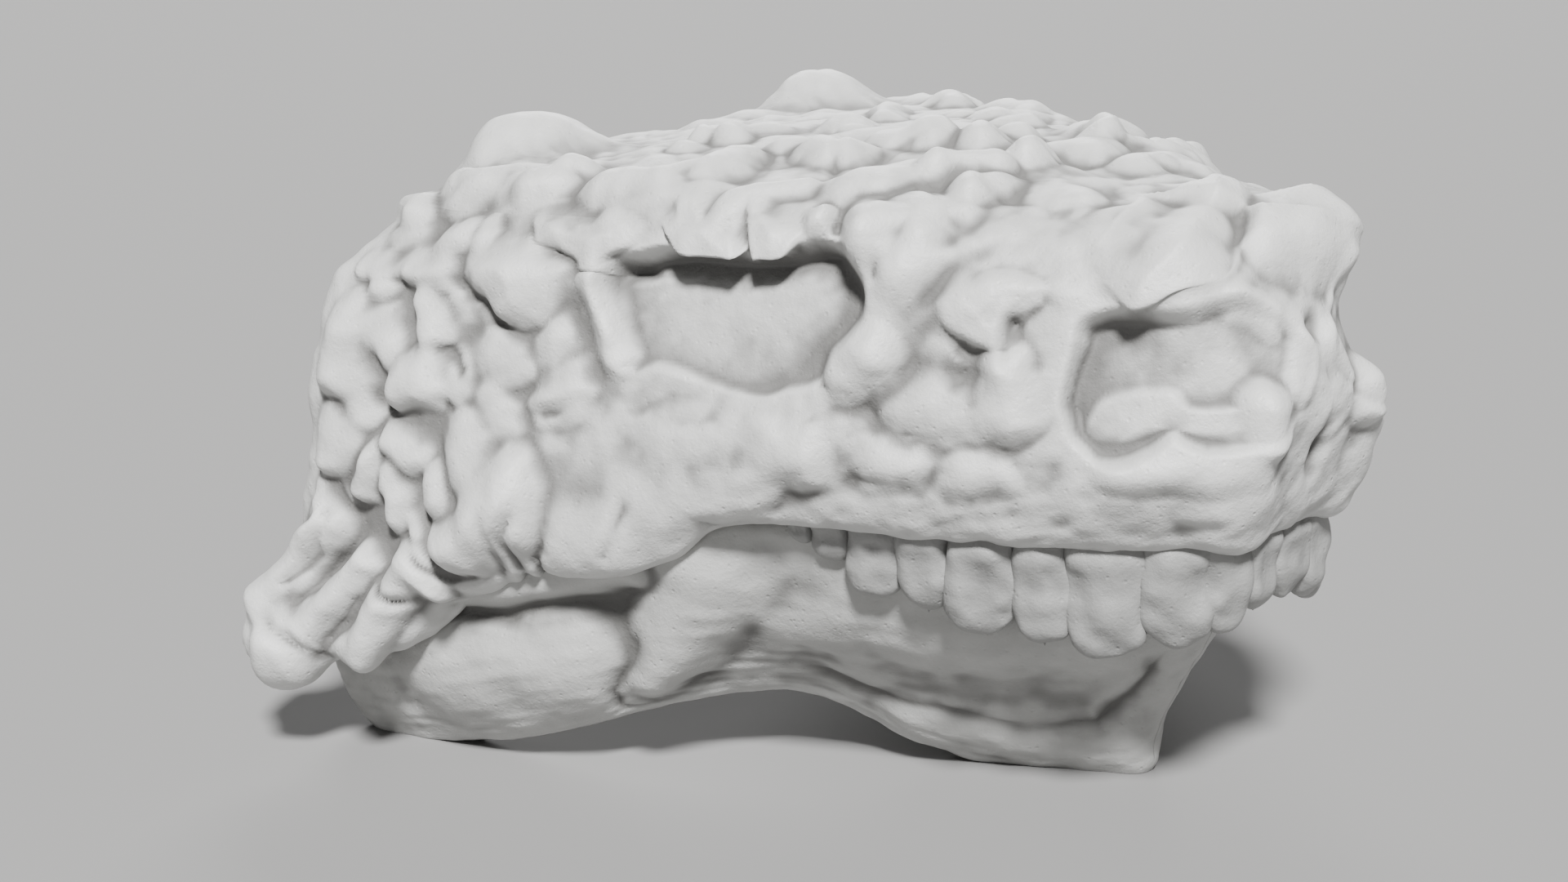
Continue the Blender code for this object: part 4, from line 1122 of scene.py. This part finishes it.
# Its bosses and folds, by spots of the photograph as on the skull. The left half is the right
# one mirrored.
jaw_bosses_seen = {
    "angle_boss": (850, 728, 795, 842, 40, 21, 12, 0),
    "side_band": (960, 770, 1340, 805, 27, 22, 3, 0),
    "keel_bulge": (1130, 892, 1370, 928, 25, 27, 6, 0),
    "keel_bead_a": (1122, 874, 1140, 876, 7, 6, 2, 0),
    "keel_bead_b": (1205, 893, 1216, 897, 7, 6, 2, 0),
    "rear_plate": (545, 822, 690, 818, 45, 43, 11, 0),
    "upper_strip": (520, 730, 760, 708, 20, 19, 11, 0),
}
jaw_folds_seen = {
    "side_crease": ((975, 815, 1050, 840, 1130, 860, 1200, 872, 1260, 884, 1340, 883, 1385, 852, 1428,
        796), 9, 2.6),
    "angle_crease": ((797, 748, 772, 800, 758, 838, 766, 860, 800, 862), 8, 3),
    "angle_front": ((826, 850, 862, 828, 904, 814), 9, 2),
    "ledge": ((500, 752, 520, 752, 548, 736, 600, 747, 655, 749), 7, 3),
}


def jaw_rings():
    """Rings of bends round the right half of the lower jaw, from the chin backwards. The side
    bulges more from the fourth ring on, the top drops from the sixth on, and a smaller ring
    ends the tail."""
    crease_level, keel_level, foot_rise, drop_rate = 0.45, 0.80, 6, 4.5
    tail_share, tail_length = 0.55, 14
    rings = []
    for index, (side, foot, top_thickness, foot_thickness) in enumerate(jaw_places.values()):
        side = np.array(side, float)
        foot = np.array(foot, float)
        bulge = -jaw_bulge * min(max(index / 3 - 1, 0), 1)
        drop = drop_rate * max(index - 5, 0) ** 1.5
        top = np.array([side[0] + 6, side[1] + 3 * (index > 0), jaw_top - drop])
        crease = moved_inwards(side + (foot - side) * crease_level, bulge)
        keel = moved_inwards(side + (foot - side) * keel_level, bulge)
        inner_foot = moved_inwards(foot + (0, 0, foot_rise), foot_thickness)
        inner_top = moved_inwards(top, top_thickness)
        inner_middle = (inner_foot + inner_top) / 2
        rings.append([top, side, crease, keel, foot, inner_foot, inner_middle, inner_top])
    tail = np.array(rings[-1])
    middle = tail.mean(axis=0)
    rings.append(middle + (tail - middle) * tail_share - (tail_length, 0, 0))
    return in_frame(np.array(rings))


jaw_cage = jaw_rings()


def jaw_surface(along, around):
    """The bare form of the right half, which goes on past the chin to its mirror image."""
    mirrored = jaw_cage[1] * (1, -1, 1) + (0, 2 * centring[1], 0)
    beyond = 2 * jaw_cage[-1] - jaw_cage[-2]
    return patchwork(np.concatenate([mirrored[None], jaw_cage, beyond[None]]), along, around)


jaw_survey = surveyed(
    jaw_surface, np.arange(-0.3, 8, survey_step), np.arange(0, 8, survey_step), -1, {},
    lambda along, ring: 0 * along,
)
jaw_bosses = bosses_seen(jaw_bosses_seen, jaw_survey)
jaw_folds = lines_seen(jaw_folds_seen, jaw_survey)


def jaw_points(spacing, seed):
    """One half of the lower jaw, always built on the right."""
    stations = len(jaw_cage) - 1
    ring_gap, bend_gap, bends = 0.052, 0.034, 8
    step = ring_gap / spacing
    along = np.arange(-int(step * 0.3), int(stations * step) + 1) / step
    count = int(bends * bend_gap / spacing)
    round_it = np.arange(count) / count * bends
    along, round_it = np.meshgrid(along, round_it, indexing="ij")
    base = jaw_surface(along, round_it)
    outwards = -facing(jaw_surface, along, round_it)
    wander = wandering(base, (0.0022, 0.018, 30))
    lift = bosses_on(base + wander, jaw_surface, 1, jaw_bosses, 2.2)[0] ** (1 / crest_power)
    lift -= folds_in(base + wander, jaw_surface, 1, jaw_folds)
    lift += uneven(base, (0.0013, 0.018, seed), (0.0003, 0.007, seed + 1))
    streaks = np.stack([along * ring_gap, round_it * bend_gap * 3, 0 * along], axis=-1)
    lift += uneven(streaks, (0.0003, 0.016, seed + 2))
    return base + outwards * lift[..., None]


half_gap = 0.00015
# The lower jaw is painted a darker grey than the skull: painted shade for where it lies under the upper
# jaw
jaw_grey_painted_shade = (0.34, 0.34, 0.33)
for name, side in (("right", 1), ("left", -1)):
    grid = jaw_points(point_spacing, 50)
    if side < 0:
        grid = grid * (1, -1, 1) + (0, 2 * centring[1], 0)
    part = closed_part(grid, grid[0].mean(axis=0), grid[-1].mean(axis=0))
    whole_jaw = whole_object("whole_jaw", part)
    low_y, high_y = (-far, -half_gap) if side > 0 else (half_gap, far)
    jaw = cut_out("lower_jaw_bone_" + name, whole_jaw, (-far, low_y, 0), (far, high_y, far))
    bpy.data.objects.remove(whole_jaw)
    finish = bone_finish("lower_jaw_finish_" + name, jaw_grey_painted_shade, 8)
    finished(jaw, finish, "lower_jaw_" + name)

# The studio: a level pale floor of paper, far lamps with soft shadows and the camera, at the
# photograph's viewing angle.
floor_half_width = 40.0
below_skull = 0.0002
floor_grey = (0.22, 0.218, 0.215, 1)
floor_points = np.array(((-1, -1, 0), (1, -1, 0), (1, 1, 0), (-1, 1, 0))) * floor_half_width
floor_faces = np.array(((0, 1, 2), (0, 2, 3)))
floor_mesh = mesh_of("studio_floor", floor_points - (0, 0, below_skull), floor_faces)
floor = in_scene("studio_floor", floor_mesh)
paper = Bench("studio_paper")
paper_sockets = {"Base Color": floor_grey, "Roughness": 0.9}
paper_shader = paper.node("ShaderNodeBsdfPrincipled", {}, paper_sockets)
paper.node("ShaderNodeOutputMaterial", {}, {"Surface": paper_shader})
floor_mesh.materials.append(paper.material)
floor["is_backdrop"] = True

world = bpy.data.worlds.new("studio_air")
world.use_nodes = True
air = world.node_tree.nodes["Background"].inputs
air["Color"].default_value = (0.80, 0.81, 0.83, 1)
air["Strength"].default_value = 0.06
bpy.context.scene.world = world


def lamp(name, azimuth, elevation, softness, strength):
    """A soft, far lamp that shines on the skull from an angle round it and above it. Its softness
    is how wide it looks from the skull, in degrees."""
    light = bpy.data.lights.new(name, "SUN")
    light.angle = np.radians(softness)
    light.energy = strength
    a, e = np.radians(azimuth), np.radians(elevation)
    way = Vector((np.sin(a) * np.cos(e), -np.cos(a) * np.cos(e), np.sin(e)))
    made = in_scene(name, light)
    made.location = way * 3
    made.rotation_euler = way.to_track_quat("Z", "Y").to_euler()


lamp("key_lamp", 52, 50, 10, 10.2)
lamp("side_lamp", 20, 8, 30, 0.4)
lamp("back_lamp", 225, 25, 30, 2.2)

camera_data = bpy.data.cameras.new("camera")
camera_data.sensor_fit = "HORIZONTAL"
film_width = 36
camera_data.sensor_width = film_width
camera_data.lens = film_width / photo_width * pixels_per_slope
camera = in_scene("camera", camera_data)
rows = [(to_right[k], to_top[k], backwards[k], camera_point[k]) for k in range(3)]
camera.matrix_world = Matrix([*rows, (0, 0, 0, 1)])
bpy.context.scene.camera = camera

low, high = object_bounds()
